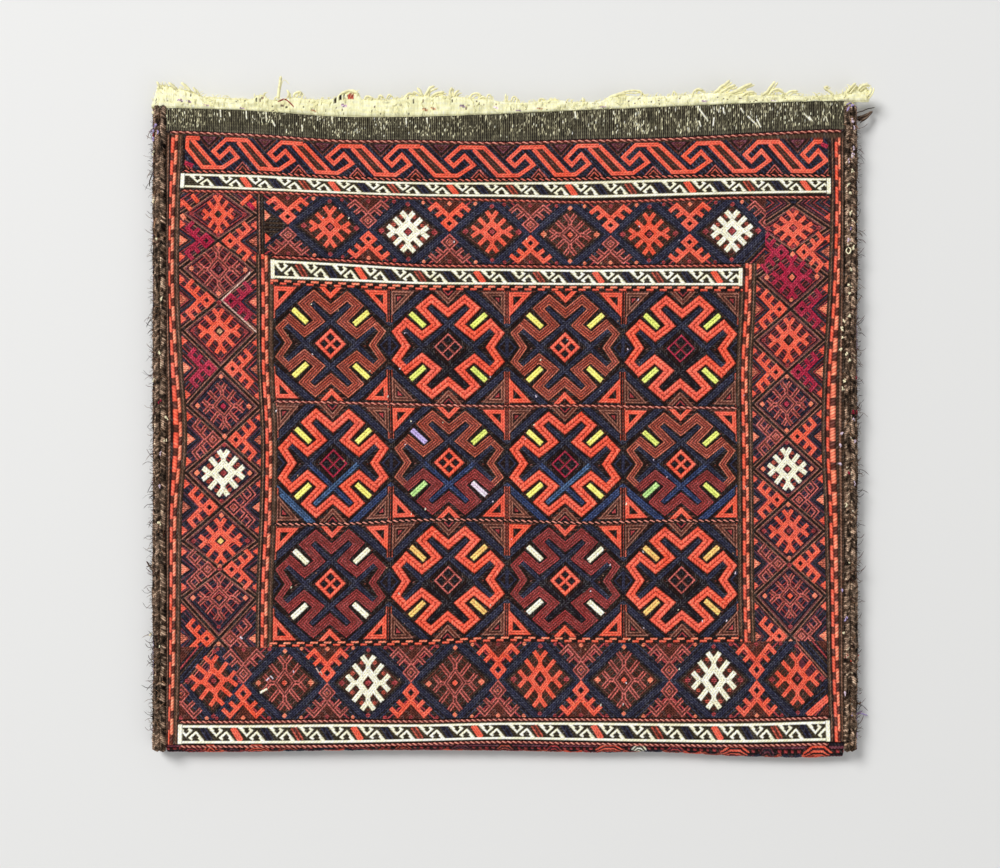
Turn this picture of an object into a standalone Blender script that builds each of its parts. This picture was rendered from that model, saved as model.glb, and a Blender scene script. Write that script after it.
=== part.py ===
# Flat-woven vanity bag, lying on its back: one strip of cloth folded at the bottom, sewn at both
# sides, open at the mouth. Metres, +Z up. X runs across the bag, +Y to the mouth, and Z = 0 is
# the surface that it lies on. The front is brocaded in bands round a field of hooked medallions.
import math

import bmesh
import bpy
from mathutils import Matrix, Vector

for leftover in list(bpy.data.objects):
    bpy.data.objects.remove(leftover, do_unlink=True)

# Cloth, from the surface upward
cloth_thickness = 0.0020  # plain ground cloth, the same strip for back, fold and front
inside_height = 0.0052  # open depth of the empty bag between its two faces
brocade_thickness = 0.0013  # wrapped wool standing on the front cloth
piece_gap = 0.0003  # clearance between neighbouring pieces
crown_height = 0.0020  # rise of the front face at its middle
crown_reach = 0.107  # distance from the fold over which the crown builds up
mouth_sag = 0.0055  # how far the mouth's middle hangs below its corners
sag_power = 6  # the sag dies out this fast towards the fold

# Across the front, from the middle outward
field_columns = 4
column_width = 0.0551
field_line = 0.0014  # bare dark cloth between field and inner guard
inner_guard_width = 0.0040
border_line = 0.0018  # bare dark cloth between inner guard and side border
side_border_width = 0.0352
outer_line = 0.0024  # bare dark cloth between side border and outer guard
outer_guard_width = 0.0042
edge_margin = 0.0017  # bare dark cloth beside the edge cords

# Up the front, from the fold to the mouth
fold_lip = 0.0019  # flat part of the folded edge, which carries its twined line
twining_radius = 0.00075
check_row_height = 0.0021
row_height = 0.0539
lower_ivory_height = 0.0077
bottom_border_height = 0.0346
inner_ivory_height = 0.0078
top_border_height = 0.0292
upper_ivory_height = 0.0078
s_border_height = 0.0153
header_height = 0.0120
hem_height = 0.0068

# Hem and edge cords
hem_thickness = 0.0034  # cotton turned over the mouth's edge
hem_round = 0.0007
cord_radius = 0.0012
cord_leans = (math.radians(56), math.radians(16))  # outer cord to middle, middle to inner
cord_lift = 0.0001  # the lowest cord's clearance over the surface
thread_radius = 0.0004
cell_length = 0.020  # spacing of the faces that follow the crown and the sag
round_steps = 10  # faces round the folded edge
fold_columns = 4  # faces along it

# Levels
front_underside = cloth_thickness + inside_height
front_top = front_underside + cloth_thickness
brocade_underside = front_top + piece_gap
brocade_top = brocade_underside + brocade_thickness

# Half widths
field_half = (field_columns * column_width + (field_columns - 1) * piece_gap) / 2
inner_guard_start = field_half + field_line
side_border_start = inner_guard_start + inner_guard_width + border_line
side_border_end = side_border_start + side_border_width
outer_guard_start = side_border_end + outer_line
cloth_half = outer_guard_start + outer_guard_width + edge_margin

# Edge cords: three along the front edge, three along the back edge, mirrored about the seam
cord_pitch = 2 * cord_radius + piece_gap
cord_offsets = [(0.0, cord_pitch / 2)]
for lean in cord_leans:
    across, up = cord_offsets[-1]
    cord_offsets.append((across - cord_pitch * math.cos(lean), up + cord_pitch * math.sin(lean)))
seam_level = cord_offsets[-1][1] + cord_radius + cord_lift
outer_cord_x = cloth_half + piece_gap + cord_radius - cord_offsets[-1][0]
bag_half = outer_cord_x + cord_radius
thread_reach = piece_gap + cord_radius + thread_radius
thread_x = outer_cord_x + math.sqrt(thread_reach**2 - (cord_pitch / 2) ** 2)

# Lengths up the bag. The stack is listed from the fold to the mouth, with a gap after each band
twining_height = 2 * twining_radius
front_stack = [
    ("lower_ivory_band", lower_ivory_height),
    ("lower_ivory_twining", twining_height),
    ("bottom_diamond_border", bottom_border_height),
    ("field_bottom_checks", check_row_height),
    ("medallion_row_3", row_height),
    ("row_twining_lower", twining_height),
    ("medallion_row_2", row_height),
    ("row_twining_upper", twining_height),
    ("medallion_row_1", row_height),
    ("field_top_checks", check_row_height),
    ("inner_ivory_band", inner_ivory_height),
    ("top_diamond_twining", twining_height),
    ("top_diamond_border", top_border_height),
    ("upper_ivory_twining", twining_height),
    ("upper_ivory_band", upper_ivory_height),
    ("s_border_twining", twining_height),
    ("s_hook_border", s_border_height),
    ("header_twining", twining_height),
]
fold_radius = front_top / 2
stack_height = sum(height + piece_gap for _, height in front_stack)
mouth_height = header_height + piece_gap + hem_height
corner_rise = mouth_sag * (bag_half / cloth_half) ** 2
bag_length = fold_radius + fold_lip + piece_gap + stack_height + mouth_height + corner_rise
fold_centre_y = -bag_length / 2 + fold_radius
fold_lip_y = fold_centre_y + fold_lip
cloth_low_y = fold_lip_y + piece_gap

band_span = {}
next_low = cloth_low_y
for band_name, band_height in front_stack:
    band_span[band_name] = (next_low, next_low + band_height)
    next_low += band_height + piece_gap
cloth_high_y = next_low - piece_gap
header_low_y = next_low
hem_low_y = header_low_y + header_height + piece_gap
hem_high_y = hem_low_y + hem_height

hinge_place = Vector((0.0, cloth_low_y, brocade_top))

bag = bpy.data.collections.new("vanity_bag")
bpy.context.scene.collection.children.link(bag)

# The front's pieces hang from this empty, which lies on the line where the mouth opens from
mouth_hinge = bpy.data.objects.new("mouth_hinge", None)
mouth_hinge.location = hinge_place
mouth_hinge.empty_display_size = twining_height
bag.objects.link(mouth_hinge)


def wool(name, colour, roughness=0.9):
    material = bpy.data.materials.new(name)
    material.use_nodes = True
    shader = material.node_tree.nodes["Principled BSDF"]
    shader.inputs["Base Color"].default_value = (*colour, 1.0)
    shader.inputs["Roughness"].default_value = roughness
    shader.inputs["Metallic"].default_value = 0.0
    return material


dyes = {
    "ground": (0.020, 0.016, 0.014),
    "ivory": (0.700, 0.660, 0.450),
    "cotton": (0.780, 0.740, 0.520),
    "madder": (0.600, 0.070, 0.035),
    "walnut": (0.130, 0.030, 0.022),
    "indigo": (0.016, 0.020, 0.045),
    "goat": (0.045, 0.032, 0.024),
    "twine": (0.480, 0.110, 0.070),
    "lilac": (0.420, 0.350, 0.500),
}


def add_piece(name, data, place, dye, on_front):
    # Each piece has its own material and stands at its own place, the front's under the empty
    piece = bpy.data.objects.new(name, data)
    data.materials.append(wool(name, dyes[dye]))
    piece.location = place
    if on_front:
        piece.parent = mouth_hinge
        piece.matrix_parent_inverse = Matrix.Translation(-hinge_place)
    bag.objects.link(piece)
    return piece


def sag_at(x, y):
    # Cloth beside the seams reaches further up than cloth in the middle, most of all at the mouth
    reach = (y - cloth_low_y) / (header_low_y - cloth_low_y)
    return mouth_sag * (x / cloth_half) ** 2 * min(max(reach, 0.0), 1.0) ** sag_power


def crown_at(x, y):
    # The front face rises from the seams and from the fold
    build_up = min(max((y - cloth_low_y) / crown_reach, 0.0), 1.0)
    return crown_height * (1 - (x / bag_half) ** 2) * math.sin(math.pi / 2 * build_up)


def cells_for(length):
    return max(1, round(length / cell_length))


def shell(name, cells, lay, thickness, grow, place, dye, on_front):
    # An open sheet of faces, laid by a rule and made solid. lay takes shares from 0 to 1
    sheet = bmesh.new()
    bmesh.ops.create_grid(sheet, x_segments=cells[0], y_segments=cells[1], size=1)
    for corner in sheet.verts:
        across_share, up_share = (corner.co.x + 1) / 2, (corner.co.y + 1) / 2
        corner.co = Vector(lay(across_share, up_share)) - Vector(place)
    data = bpy.data.meshes.new(name)
    sheet.to_mesh(data)
    sheet.free()
    piece = add_piece(name, data, place, dye, on_front)
    solid = piece.modifiers.new("thickness", "SOLIDIFY")
    solid.thickness = thickness
    solid.offset = grow
    solid.use_even_offset = True
    return piece


def cloth_patch(name, across, along, underside, thickness, dye, on_front=True):
    # A flat piece between two X and two Y lines of the pattern, following the sag, and the crown
    # where it lies on the front
    def lay(across_share, up_share):
        x = across[0] + (across[1] - across[0]) * across_share
        y = along[0] + (along[1] - along[0]) * up_share
        rise = crown_at(x, y) if on_front else 0.0
        return x, y + sag_at(x, y), underside + rise

    cells = (cells_for(across[1] - across[0]), cells_for(along[1] - along[0]))
    place = ((across[0] + across[1]) / 2, (along[0] + along[1]) / 2, underside)
    return shell(name, cells, lay, thickness, 1, place, dye, on_front)


def rope(name, points, radius, sides_level, dye, on_front):
    line = bpy.data.curves.new(name, "CURVE")
    line.dimensions = "3D"
    line.bevel_depth = radius
    line.bevel_resolution = sides_level
    line.use_fill_caps = True
    run = line.splines.new("POLY")
    run.points.add(len(points) - 1)
    place = points[len(points) // 2]
    for knot, point in zip(run.points, points):
        knot.co = (*(Vector(point) - Vector(place)), 1.0)
    return add_piece(name, line, place, dye, on_front)


def round_edges(piece):
    soft = piece.modifiers.new("soft_edges", "BEVEL")
    soft.width = hem_round
    soft.segments = 2
    soft.limit_method = "ANGLE"


def back_cloth():
    cloth_patch(
        "back_panel", (-cloth_half, cloth_half), (cloth_low_y, hem_low_y - piece_gap),
        0.0, cloth_thickness, "ground", on_front=False,
    )
    hem = cloth_patch(
        "back_hem", (-bag_half, bag_half), (hem_low_y, hem_high_y),
        0.0, cloth_thickness, "cotton", on_front=False,
    )
    round_edges(hem)


def bottom_fold():
    # The strip turns over here: a lip on the back, half a turn, and a lip on the front. The sheet
    # is the bag's outer side, so the cloth grows inward from it
    rows = round_steps + 2

    def lay(across_share, up_share):
        x = cloth_half * (2 * across_share - 1)
        row = round(up_share * rows)
        if row == 0:
            return x, fold_lip_y, 0.0
        if row == rows:
            return x, fold_lip_y, front_top
        turn = math.pi * (row - 1) / round_steps
        level = fold_radius * (1 - math.cos(turn))
        return x, fold_centre_y - fold_radius * math.sin(turn), level

    place = (0.0, fold_centre_y, fold_radius)
    cells = (fold_columns, rows)
    shell("bottom_fold", cells, lay, cloth_thickness, -1, place, "indigo", on_front=False)


def twined_line(name, middle_y, half, on_front=True):
    # A line lying on the cloth, straight in the pattern and bent by sag and crown
    count = 2 * cells_for(half)
    points = []
    for step in range(count + 1):
        x = half * (2 * step / count - 1)
        rise = crown_at(x, middle_y) if on_front else 0.0
        level = brocade_underside + twining_radius + rise
        points.append((x, middle_y + sag_at(x, middle_y), level))
    rope(name, points, twining_radius, 1, "twine", on_front)


def edge_cords():
    # Plaited goat-hair cords bind each side. They run from the folded edge up to the hem
    names = ("outer", "middle", "inner")
    for side, sign in (("left", -1), ("right", 1)):
        for place_name, (across, up) in zip(names, cord_offsets):
            x = outer_cord_x + across
            end_y = hem_low_y + sag_at(x, hem_low_y) - piece_gap - cord_lift
            for face, level in (("front", seam_level + up), ("back", seam_level - up)):
                ends = ((sign * x, fold_centre_y - fold_radius, level), (sign * x, end_y, level))
                name = f"{side}_{face}_cord_{place_name}"
                rope(name, ends, cord_radius, 2, "goat", on_front=False)


def seam_threads():
    # The thread that sews front to back lies in the groove between the two outer cords
    end_y = hem_low_y + sag_at(outer_cord_x, hem_low_y) - piece_gap
    for side, sign in (("left", -1), ("right", 1)):
        x = sign * thread_x
        ends = ((x, fold_centre_y - fold_radius, seam_level), (x, end_y, seam_level))
        rope(f"{side}_seam_thread", ends, thread_radius, 1, "lilac", on_front=False)


def front_cloth():
    cloth_patch(
        "front_ground", (-cloth_half, cloth_half), (cloth_low_y, cloth_high_y),
        front_underside, cloth_thickness, "ground",
    )
    cloth_patch(
        "header_band", (-cloth_half, cloth_half), (header_low_y, header_low_y + header_height),
        front_underside, cloth_thickness + piece_gap + brocade_thickness, "goat",
    )
    hem = cloth_patch(
        "front_hem", (-bag_half, bag_half), (hem_low_y, hem_high_y),
        front_underside, hem_thickness, "cotton",
    )
    round_edges(hem)


def brocade(name, across, along, dye):
    return cloth_patch(name, across, along, brocade_underside, brocade_thickness, dye)


def cross_bands():
    wide = (-side_border_end, side_border_end)
    narrow = (-inner_guard_start + field_line, inner_guard_start - field_line)
    between = (-side_border_start + piece_gap, side_border_start - piece_gap)
    brocade("s_hook_border", wide, band_span["s_hook_border"], "madder")
    brocade("upper_ivory_band", wide, band_span["upper_ivory_band"], "ivory")
    brocade("top_diamond_border", between, band_span["top_diamond_border"], "indigo")
    brocade("inner_ivory_band", narrow, band_span["inner_ivory_band"], "ivory")
    brocade("field_top_checks", narrow, band_span["field_top_checks"], "madder")
    brocade("field_bottom_checks", narrow, band_span["field_bottom_checks"], "madder")
    brocade("bottom_diamond_border", between, band_span["bottom_diamond_border"], "indigo")
    brocade("lower_ivory_band", wide, band_span["lower_ivory_band"], "ivory")


def side_bands():
    border_along = (band_span["bottom_diamond_border"][0], band_span["top_diamond_border"][1])
    inner_along = (band_span["field_bottom_checks"][0], band_span["inner_ivory_band"][1])
    outer_along = (band_span["lower_ivory_band"][0], band_span["s_hook_border"][1])
    runs = (
        ("diamond_border", side_border_start, side_border_end, border_along, "indigo"),
        ("inner_guard", inner_guard_start, inner_guard_start + inner_guard_width, inner_along,
         "madder"),
        ("outer_guard", outer_guard_start, outer_guard_start + outer_guard_width, outer_along,
         "madder"),
    )
    for name, near, far, along, dye in runs:
        brocade(f"left_{name}", (-far, -near), along, dye)
        brocade(f"right_{name}", (near, far), along, dye)


def medallions():
    # Red and brown medallions alternate over the field
    for row in range(1, 4):
        along = band_span[f"medallion_row_{row}"]
        for column in range(1, field_columns + 1):
            left = -field_half + (column - 1) * (column_width + piece_gap)
            dye = "walnut" if (row + column) % 2 == 0 else "madder"
            brocade(f"medallion_{row}_{column}", (left, left + column_width), along, dye)


def twined_lines():
    wide_lines = ("lower_ivory_twining", "upper_ivory_twining", "s_border_twining")
    field_lines = ("row_twining_lower", "row_twining_upper", "top_diamond_twining")
    halves = {name: side_border_end for name in wide_lines}
    halves.update({name: field_half for name in field_lines})
    halves["header_twining"] = cloth_half - edge_margin
    for name, half in halves.items():
        twined_line(name, sum(band_span[name]) / 2, half)
    fold_line_y = fold_lip_y - twining_radius
    twined_line("fold_twining", fold_line_y, side_border_end, on_front=False)


back_cloth()
bottom_fold()
edge_cords()
seam_threads()
front_cloth()
cross_bands()
side_bands()
medallions()
twined_lines()
bpy.context.view_layer.update()

print(f"bag {2 * bag_half * 1000:.1f} x {bag_length * 1000:.1f} mm")
print(f"hinge at y {hinge_place.y:.5f} z {hinge_place.z:.5f}, hem from y {hem_low_y:.5f}")
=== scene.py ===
import math
from functools import partial

import bpy
import numpy as np
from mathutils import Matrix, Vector


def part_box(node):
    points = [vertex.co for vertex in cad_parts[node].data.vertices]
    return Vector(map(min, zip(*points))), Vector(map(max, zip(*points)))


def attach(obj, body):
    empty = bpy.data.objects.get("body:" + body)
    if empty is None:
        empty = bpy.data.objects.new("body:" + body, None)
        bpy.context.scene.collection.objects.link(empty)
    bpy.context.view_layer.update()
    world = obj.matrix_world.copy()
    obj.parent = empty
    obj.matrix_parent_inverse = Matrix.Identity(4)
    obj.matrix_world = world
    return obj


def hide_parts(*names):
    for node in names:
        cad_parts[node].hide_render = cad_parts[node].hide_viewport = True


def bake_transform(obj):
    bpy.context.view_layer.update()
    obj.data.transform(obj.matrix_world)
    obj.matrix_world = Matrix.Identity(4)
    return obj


# Vanity bag: a flat-woven strip folded at the bottom, its front brocaded with wrapped wool.
# Lengths below are millimetres on the cloth as it lay on the loom, measured from the bag's middle.
# Each part of the pattern is a run of stitched rows, laid on a fine grid that becomes the mesh.

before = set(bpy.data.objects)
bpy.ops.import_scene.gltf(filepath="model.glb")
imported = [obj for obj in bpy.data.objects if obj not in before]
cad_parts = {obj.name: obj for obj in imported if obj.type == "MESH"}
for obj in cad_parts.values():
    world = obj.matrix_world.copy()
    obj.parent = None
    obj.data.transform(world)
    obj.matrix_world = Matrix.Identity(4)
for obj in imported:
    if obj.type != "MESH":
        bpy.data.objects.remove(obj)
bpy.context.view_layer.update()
mm = 0.001


def lowOf(node, axis):
    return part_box(node)[0][axis] / mm


def highOf(node, axis):
    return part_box(node)[1][axis] / mm


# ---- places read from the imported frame
clothHalf = highOf("front_ground", 0)
bagHalf = highOf("front_hem", 0)
clothFoot = lowOf("front_ground", 1)
hemFoot = lowOf("front_hem", 1)
surface = {
    "brocade": lowOf("left_outer_guard", 2),  # level that the wrapped rows stand on
    "inside": lowOf("front_ground", 2),  # inner side of the front cloth
    "backInside": highOf("back_panel", 2),
    "foldRadius": highOf("bottom_fold", 2) / 2,
    "foldMiddle": lowOf("bottom_fold", 1) + highOf("bottom_fold", 2) / 2,
}
crown = {"height": 2.0, "reach": 107.0, "pucker": 0.45, "puckerSize": 34.0}
hemHeight = 6.8

# ---- how the photograph's pixels lie on the cloth
photo = {"width": 1000, "height": 868, "scale": 0.475, "middleX": 505.0, "middleY": 420.8}

# Heights in the photograph of lines that were straight on the loom, at these places across
stationsAcross = [180, 260, 340, 420, 500, 580, 660, 740, 820]
linesAcross = [
    # place on the loom, then the line's height at each station
    (lowOf("lower_ivory_band", 1) - 1.0, [747, 747, 746.5, 744.5, 742.5, 744, 745.5, 746.2, 744.6]),
    (lowOf("lower_ivory_twining", 1) + 0.7, [722.7, 722.5, 721.5, 722, 720.3, 720, 720.7, 720.7, 718.5]),
    (lowOf("field_bottom_checks", 1) + 1.0, [645, 645, 643.8, 642.5, 639, 640, 640.2, 639.5, 639]),
    (lowOf("row_twining_lower", 1) + 0.7, [525, 524.5, 524, 520, 520.4, 522.9, 521, 521, 521]),
    (lowOf("row_twining_upper", 1) + 0.7, [400, 401.5, 403, 405, 406.5, 406, 407.5, 408.3, 408]),
    (lowOf("field_top_checks", 1) + 1.0, [278, 281.5, 285, 287.8, 288.3, 288.8, 289, 289, 288]),
    (lowOf("top_diamond_twining", 1) + 0.7, [255, 256.5, 260.8, 265.8, 266.5, 267.4, 266.4, 265.7, 264]),
    (lowOf("upper_ivory_twining", 1) + 0.7, [190.7, 192.5, 196, 198.8, 200.9, 202.8, 200.7, 197.9, 197.4]),
    (lowOf("upper_ivory_band", 1), [187, 190.3, 193.9, 196.6, 197.3, 198.6, 196.6, 194.3, 192.8]),
    (lowOf("s_border_twining", 1) + 0.7, [171, 173, 177.7, 180.4, 180.4, 179.4, 177.1, 175.7, 175.7]),
    (lowOf("header_twining", 1) - 0.3, [135.2, 139, 144.3, 144.8, 146.2, 144.4, 142.8, 140.4, 139.6]),
    (lowOf("header_twining", 1) + 0.7, [132, 135.8, 141.4, 142, 143.8, 141.7, 140, 135.5, 131]),
    (hemFoot, [107.5, 111, 116.7, 116.7, 114.2, 110.6, 107.2, 103.4, 100.8]),
    (hemFoot + hemHeight, [97.5, 98.5, 99, 100, 101, 100, 98, 95.5, 93]),
]
# Places across of lines that ran straight up the loom, at these heights in the photograph
stationsUp = [745, 670, 590, 510, 440, 370, 300, 220, 130]
guardMiddle = (lowOf("right_outer_guard", 0) + highOf("right_outer_guard", 0)) / 2
innerMiddle = (lowOf("right_inner_guard", 0) + highOf("right_inner_guard", 0)) / 2
linesUp = [
    (-guardMiddle, [168.8, 171, 172, 173, 178.5, 174, 170.3, 171, 175.5]),
    (-innerMiddle, [263, 263.5, 264.5, 268, 268.8, 265.3, 265, 263.5, 263]),
    (0.0, [505.5, 506, 507, 507, 507, 507, 507, 506.5, 506]),
    (innerMiddle, [748.5, 748.5, 746.5, 746, 745.5, 744.5, 748, 749.5, 750]),
    (guardMiddle, [839, 836, 834.5, 832.5, 829.7, 831.5, 836, 839, 838]),
]


def acrossOf(px):
    return (np.asarray(px, float) - photo["middleX"]) * photo["scale"]


def upOf(py):
    return (photo["middleY"] - np.asarray(py, float)) * photo["scale"]


def smoothCurve(at, stations, values):
    # a smooth line through measured places, level beyond the first and the last
    slope = np.gradient(values, stations)
    k = np.clip(np.searchsorted(stations, at) - 1, 0, len(stations) - 2)
    wide = stations[k + 1] - stations[k]
    t = np.clip((at - stations[k]) / wide, 0, 1)
    rise = (1 + 2 * t) * (1 - t) ** 2 * values[k] + t * t * (3 - 2 * t) * values[k + 1]
    return rise + wide * (t * (1 - t) ** 2 * slope[k] + t * t * (t - 1) * slope[k + 1])


def betweenLines(at, places, shifts):
    # between two neighbouring lines the shift changes evenly
    k = np.clip(np.searchsorted(places, at) - 1, 0, len(places) - 2)
    t = np.clip((at - places[k]) / (places[k + 1] - places[k]), 0, 1)
    low = np.take_along_axis(shifts, k[None], 0)[0]
    high = np.take_along_axis(shifts, k[None] + 1, 0)[0]
    return low * (1 - t) + high * t


def layFlat(u, v):
    # a point of the loom's straight pattern, where it lies on the bag
    shape = np.shape(u)
    u, v = np.ravel(u).astype(float), np.ravel(v).astype(float)
    across = acrossOf(stationsAcross)
    places = np.array([line[0] for line in linesAcross])
    shifts = np.array([smoothCurve(u, across, upOf(line[1]) - line[0]) for line in linesAcross])
    y = v + betweenLines(v, places, shifts)
    up = upOf(stationsUp)
    places = np.array([-clothHalf] + [line[0] for line in linesUp] + [clothHalf])
    shifts = np.array([smoothCurve(v, up, acrossOf(line[1]) - line[0]) for line in linesUp])
    still = np.zeros((1, len(v)))
    x = u + betweenLines(u, places, np.concatenate([still, shifts, still]))
    return x.reshape(shape), y.reshape(shape)


def loomOf(px, py):
    # the loom place of a pixel, found by walking back what the cloth moved
    x, y = acrossOf(px), upOf(py)
    u, v = x, y
    for _ in range(6):
        nowX, nowY = layFlat(u, v)
        u, v = u + x - nowX, v + y - nowY
    return float(u), float(v)


def softNoise(x, y, size, seed):
    # slow random ups and downs between 0 and 1, the same on every run
    lattice = np.random.default_rng(seed).random((97, 89))
    gx, gy = np.asarray(x) / size + 40.3, np.asarray(y) / size + 37.7
    i, j = np.floor(gx).astype(int), np.floor(gy).astype(int)
    tx, ty = gx - i, gy - j
    tx, ty = tx * tx * (3 - 2 * tx), ty * ty * (3 - 2 * ty)

    def corner(di, dj):
        return lattice[(i + di) % 97, (j + dj) % 89]

    low = corner(0, 0) * (1 - tx) + corner(1, 0) * tx
    return low * (1 - ty) + (corner(0, 1) * (1 - tx) + corner(1, 1) * tx) * ty


def scatter(a, b):
    # a number between 0 and 1 for each stitch
    mixed = np.sin(a * 12.9898 + b * 78.233) * 43758.5453
    return mixed - np.floor(mixed)


def crownAt(x, y):
    # the front rises from the seams and the fold, and puckers slightly
    built = np.clip((y - clothFoot) / crown["reach"], 0, 1)
    rise = crown["height"] * (1 - (x / bagHalf) ** 2) * np.sin(math.pi / 2 * built)
    pucker = softNoise(x, y, crown["puckerSize"], 5) - 0.5
    return rise + crown["pucker"] * pucker * np.clip((y - clothFoot) / 12, 0, 1)


# ---- dyes, as the eye reads them on a screen, from 0 to 255
dyes = {
    "madder": (240, 92, 70), "coral": (248, 124, 96), "salmon": (222, 116, 98), "walnut": (170, 78, 62),
    "umber": (100, 42, 34), "bark": (84, 44, 36), "rust": (190, 100, 78), "clay": (142, 92, 76),
    "wine": (150, 58, 60), "rose": (184, 92, 84), "plum": (96, 48, 58), "crimson": (152, 38, 60),
    "indigo": (41, 42, 60), "night": (29, 24, 31), "sky": (62, 86, 120), "azure": (46, 58, 92),
    "olive": (56, 42, 33), "moss": (54, 47, 34), "soot": (32, 21, 19), "fawn": (112, 80, 64),
    "ivory": (240, 231, 194), "yellow": (244, 222, 112), "lime": (204, 214, 104), "leaf": (164, 200, 124),
    "lilac": (176, 158, 206), "paleLilac": (216, 196, 212), "mauve": (166, 140, 158),
    "ochre": (226, 172, 100), "tan": (170, 128, 96), "blush": (204, 164, 150), "cotton": (247, 241, 191),
    "goat": (128, 107, 90), "goatDark": (62, 47, 36), "ash": (126, 121, 95), "straw": (222, 215, 176),
    "fleck": (176, 169, 138), "twineLight": (226, 146, 128), "twineDark": (110, 46, 42),
}


def linearOf(colour):
    share = np.asarray(colour, float) / 255
    return np.where(share <= 0.04045, share / 12.92, ((share + 0.055) / 1.055) ** 2.4)


dyeOf = {name: linearOf(colour) for name, colour in dyes.items()}
paintedShadeTone = linearOf((19, 9, 7))  # painted shade: the warm dark left of light between two rows

paleDyes = ("ivory", "yellow", "lime", "leaf", "lilac", "paleLilac", "ochre", "cotton", "straw", "fleck")
warmDyes = ("madder", "coral", "crimson")

stitch = {
    "mitre": 2.6,  # how far a run's corners may reach, in half widths of the run
    "row": 1.05,  # width of one wrapped row
    "length": 1.55,  # one wrap along the row
    "lean": 0.9,  # how far a wrap slants across its row
    "height": 0.62,  # rise of a row, as a share of its width
    "unevenDye": 0.8,
    "groove": 0.04,  # painted shade: brightness left between two rows of different dyes
    "seam": 0.08,  # painted shade: the same between two rows of one dye
    "gap": {"dark": 0.24, "warm": 0.46, "pale": 0.70},  # painted shade: brightness left between two wraps
    "slope": {"dark": 0.28, "warm": 0.24, "pale": 0.18},  # share of a row that falls to its groove, in painted shade
    "bright": {"dark": 1.4, "warm": 1.32, "pale": 1.26},  # painted highlight: brightness of a wrap's top, against its dye
    "glint": 0.22,  # painted highlight: pale shine on some of the wraps
}
laid = {"runs": 0}


def newCloth(low, high, step, stepUp=None):
    # a grid of loom places with the height of the yarn at each, and its dye with painted shade and
    # highlights
    wide = 2 * round((high[0] - low[0]) / step / 2) + 1
    tall = round((high[1] - low[1]) / (stepUp or step)) + 1
    u, v = np.linspace(low[0], high[0], wide), np.linspace(low[1], high[1], tall)
    return {"u": u, "v": v, "relief": np.zeros((tall, wide)), "tint": np.zeros((tall, wide, 3))}


def windowOf(cloth, low, high, clip=None):
    # the part of a grid between two corners, and its places across and up
    if clip:
        low, high = np.maximum(low, clip[0]), np.minimum(high, clip[1])
    j = np.searchsorted(cloth["u"], [low[0], high[0]])
    i = np.searchsorted(cloth["v"], [low[1], high[1]])
    window = (slice(i[0], i[1]), slice(j[0], j[1]))
    return window, cloth["u"][window[1]][None, :], cloth["v"][window[0]][:, None]


def rowList(rows):
    # rows are a list, or one line of dyes
    return rows.split() if isinstance(rows, str) else rows


def layRows(cloth, window, inside, across, along, rows, width, lift=0.0, repeat=False, depth=1.0):
    # across runs over the rows from their left side, along runs down their length
    if not inside.any():
        return
    a, s = across[inside] / width, along[inside]
    index = np.floor(a).astype(int)
    t = a - index - 0.5
    index = index % len(rows) if repeat else np.clip(index, 0, len(rows) - 1)
    lean = np.where(np.floor(a) % 2 == 0, 1.0, -1.0)
    phase = s / stitch["length"] + lean * t * stitch["lean"]
    wrap = np.floor(phase)
    swell = np.sin(math.pi * (phase - wrap))
    chance = scatter(wrap, np.floor(a) + 7 * laid["runs"])
    colour, (gap, slope, bright) = np.empty((len(s), 3)), np.empty((3, len(s)))
    alike = np.zeros((len(rows), 2), bool)
    for k, dye in enumerate(rows):
        here = index == k
        if isinstance(dye, str):
            colour[here] = dyeOf[dye]
        else:  # checks: two dyes, length of a pair, share of the first, place of the start
            turn = s[here] / dye[2] + dye[4]
            first = (turn - np.floor(turn)) < dye[3]
            colour[here] = np.where(first[:, None], dyeOf[dye[0]], dyeOf[dye[1]])
        name = dye if isinstance(dye, str) else dye[0]
        kind = "pale" if name in paleDyes else "warm" if name in warmDyes else "dark"
        gap[here], slope[here], bright[here] = (stitch[fact][kind] for fact in ("gap", "slope", "bright"))
        for side, beside in enumerate((k - 1, k + 1)):
            alike[k, side] = (repeat or 0 <= beside < len(rows)) and rows[beside % len(rows)] == dye
        if name in paleDyes:
            alike[k] = alike[k] | (len(rows) == 1)
    # painted shade: each row darkens towards its grooves and each wrap towards its neighbours, and the
    # wraps' tops are lit above their dye
    edge = np.clip((0.5 - np.abs(t)) / slope, 0, 1)
    seam = stitch["seam"] + 0.5 * (gap - 0.24)
    hollowShade = np.where(alike[index, (t > 0).astype(int)], seam, stitch["groove"])
    shade = bright * (hollowShade + (1 - hollowShade) * edge) * (gap + (1.28 - 0.7 * gap) * swell)
    uneven = stitch["unevenDye"] * (1.2 - gap)
    # the painted shade also takes the uneven dye from wrap to wrap; depth sets how strong both are
    shade = 1 - depth * (1 - shade * (1 + uneven * (chance - 0.5)))
    # painted highlight: pale glints on the tops of some wraps
    glint = stitch["glint"] * (1 - gap) * np.clip(scatter(wrap + 3, index + 5) - 0.55, 0, 1)
    shine = glint * edge * swell ** 3
    ridge = np.sqrt(np.clip(1 - (1.9 * t) ** 2, 0, 1)) * (0.6 + 0.4 * swell)
    cloth["relief"][window][inside] = lift + stitch["height"] * width * ridge
    # painted shade: the darkened parts take a deep warm tone
    paintedShade = np.clip(1 - shade, 0, 1)[:, None] * paintedShadeTone
    cloth["tint"][window][inside] = colour * shade[:, None] + shine[:, None] + paintedShade


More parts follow.
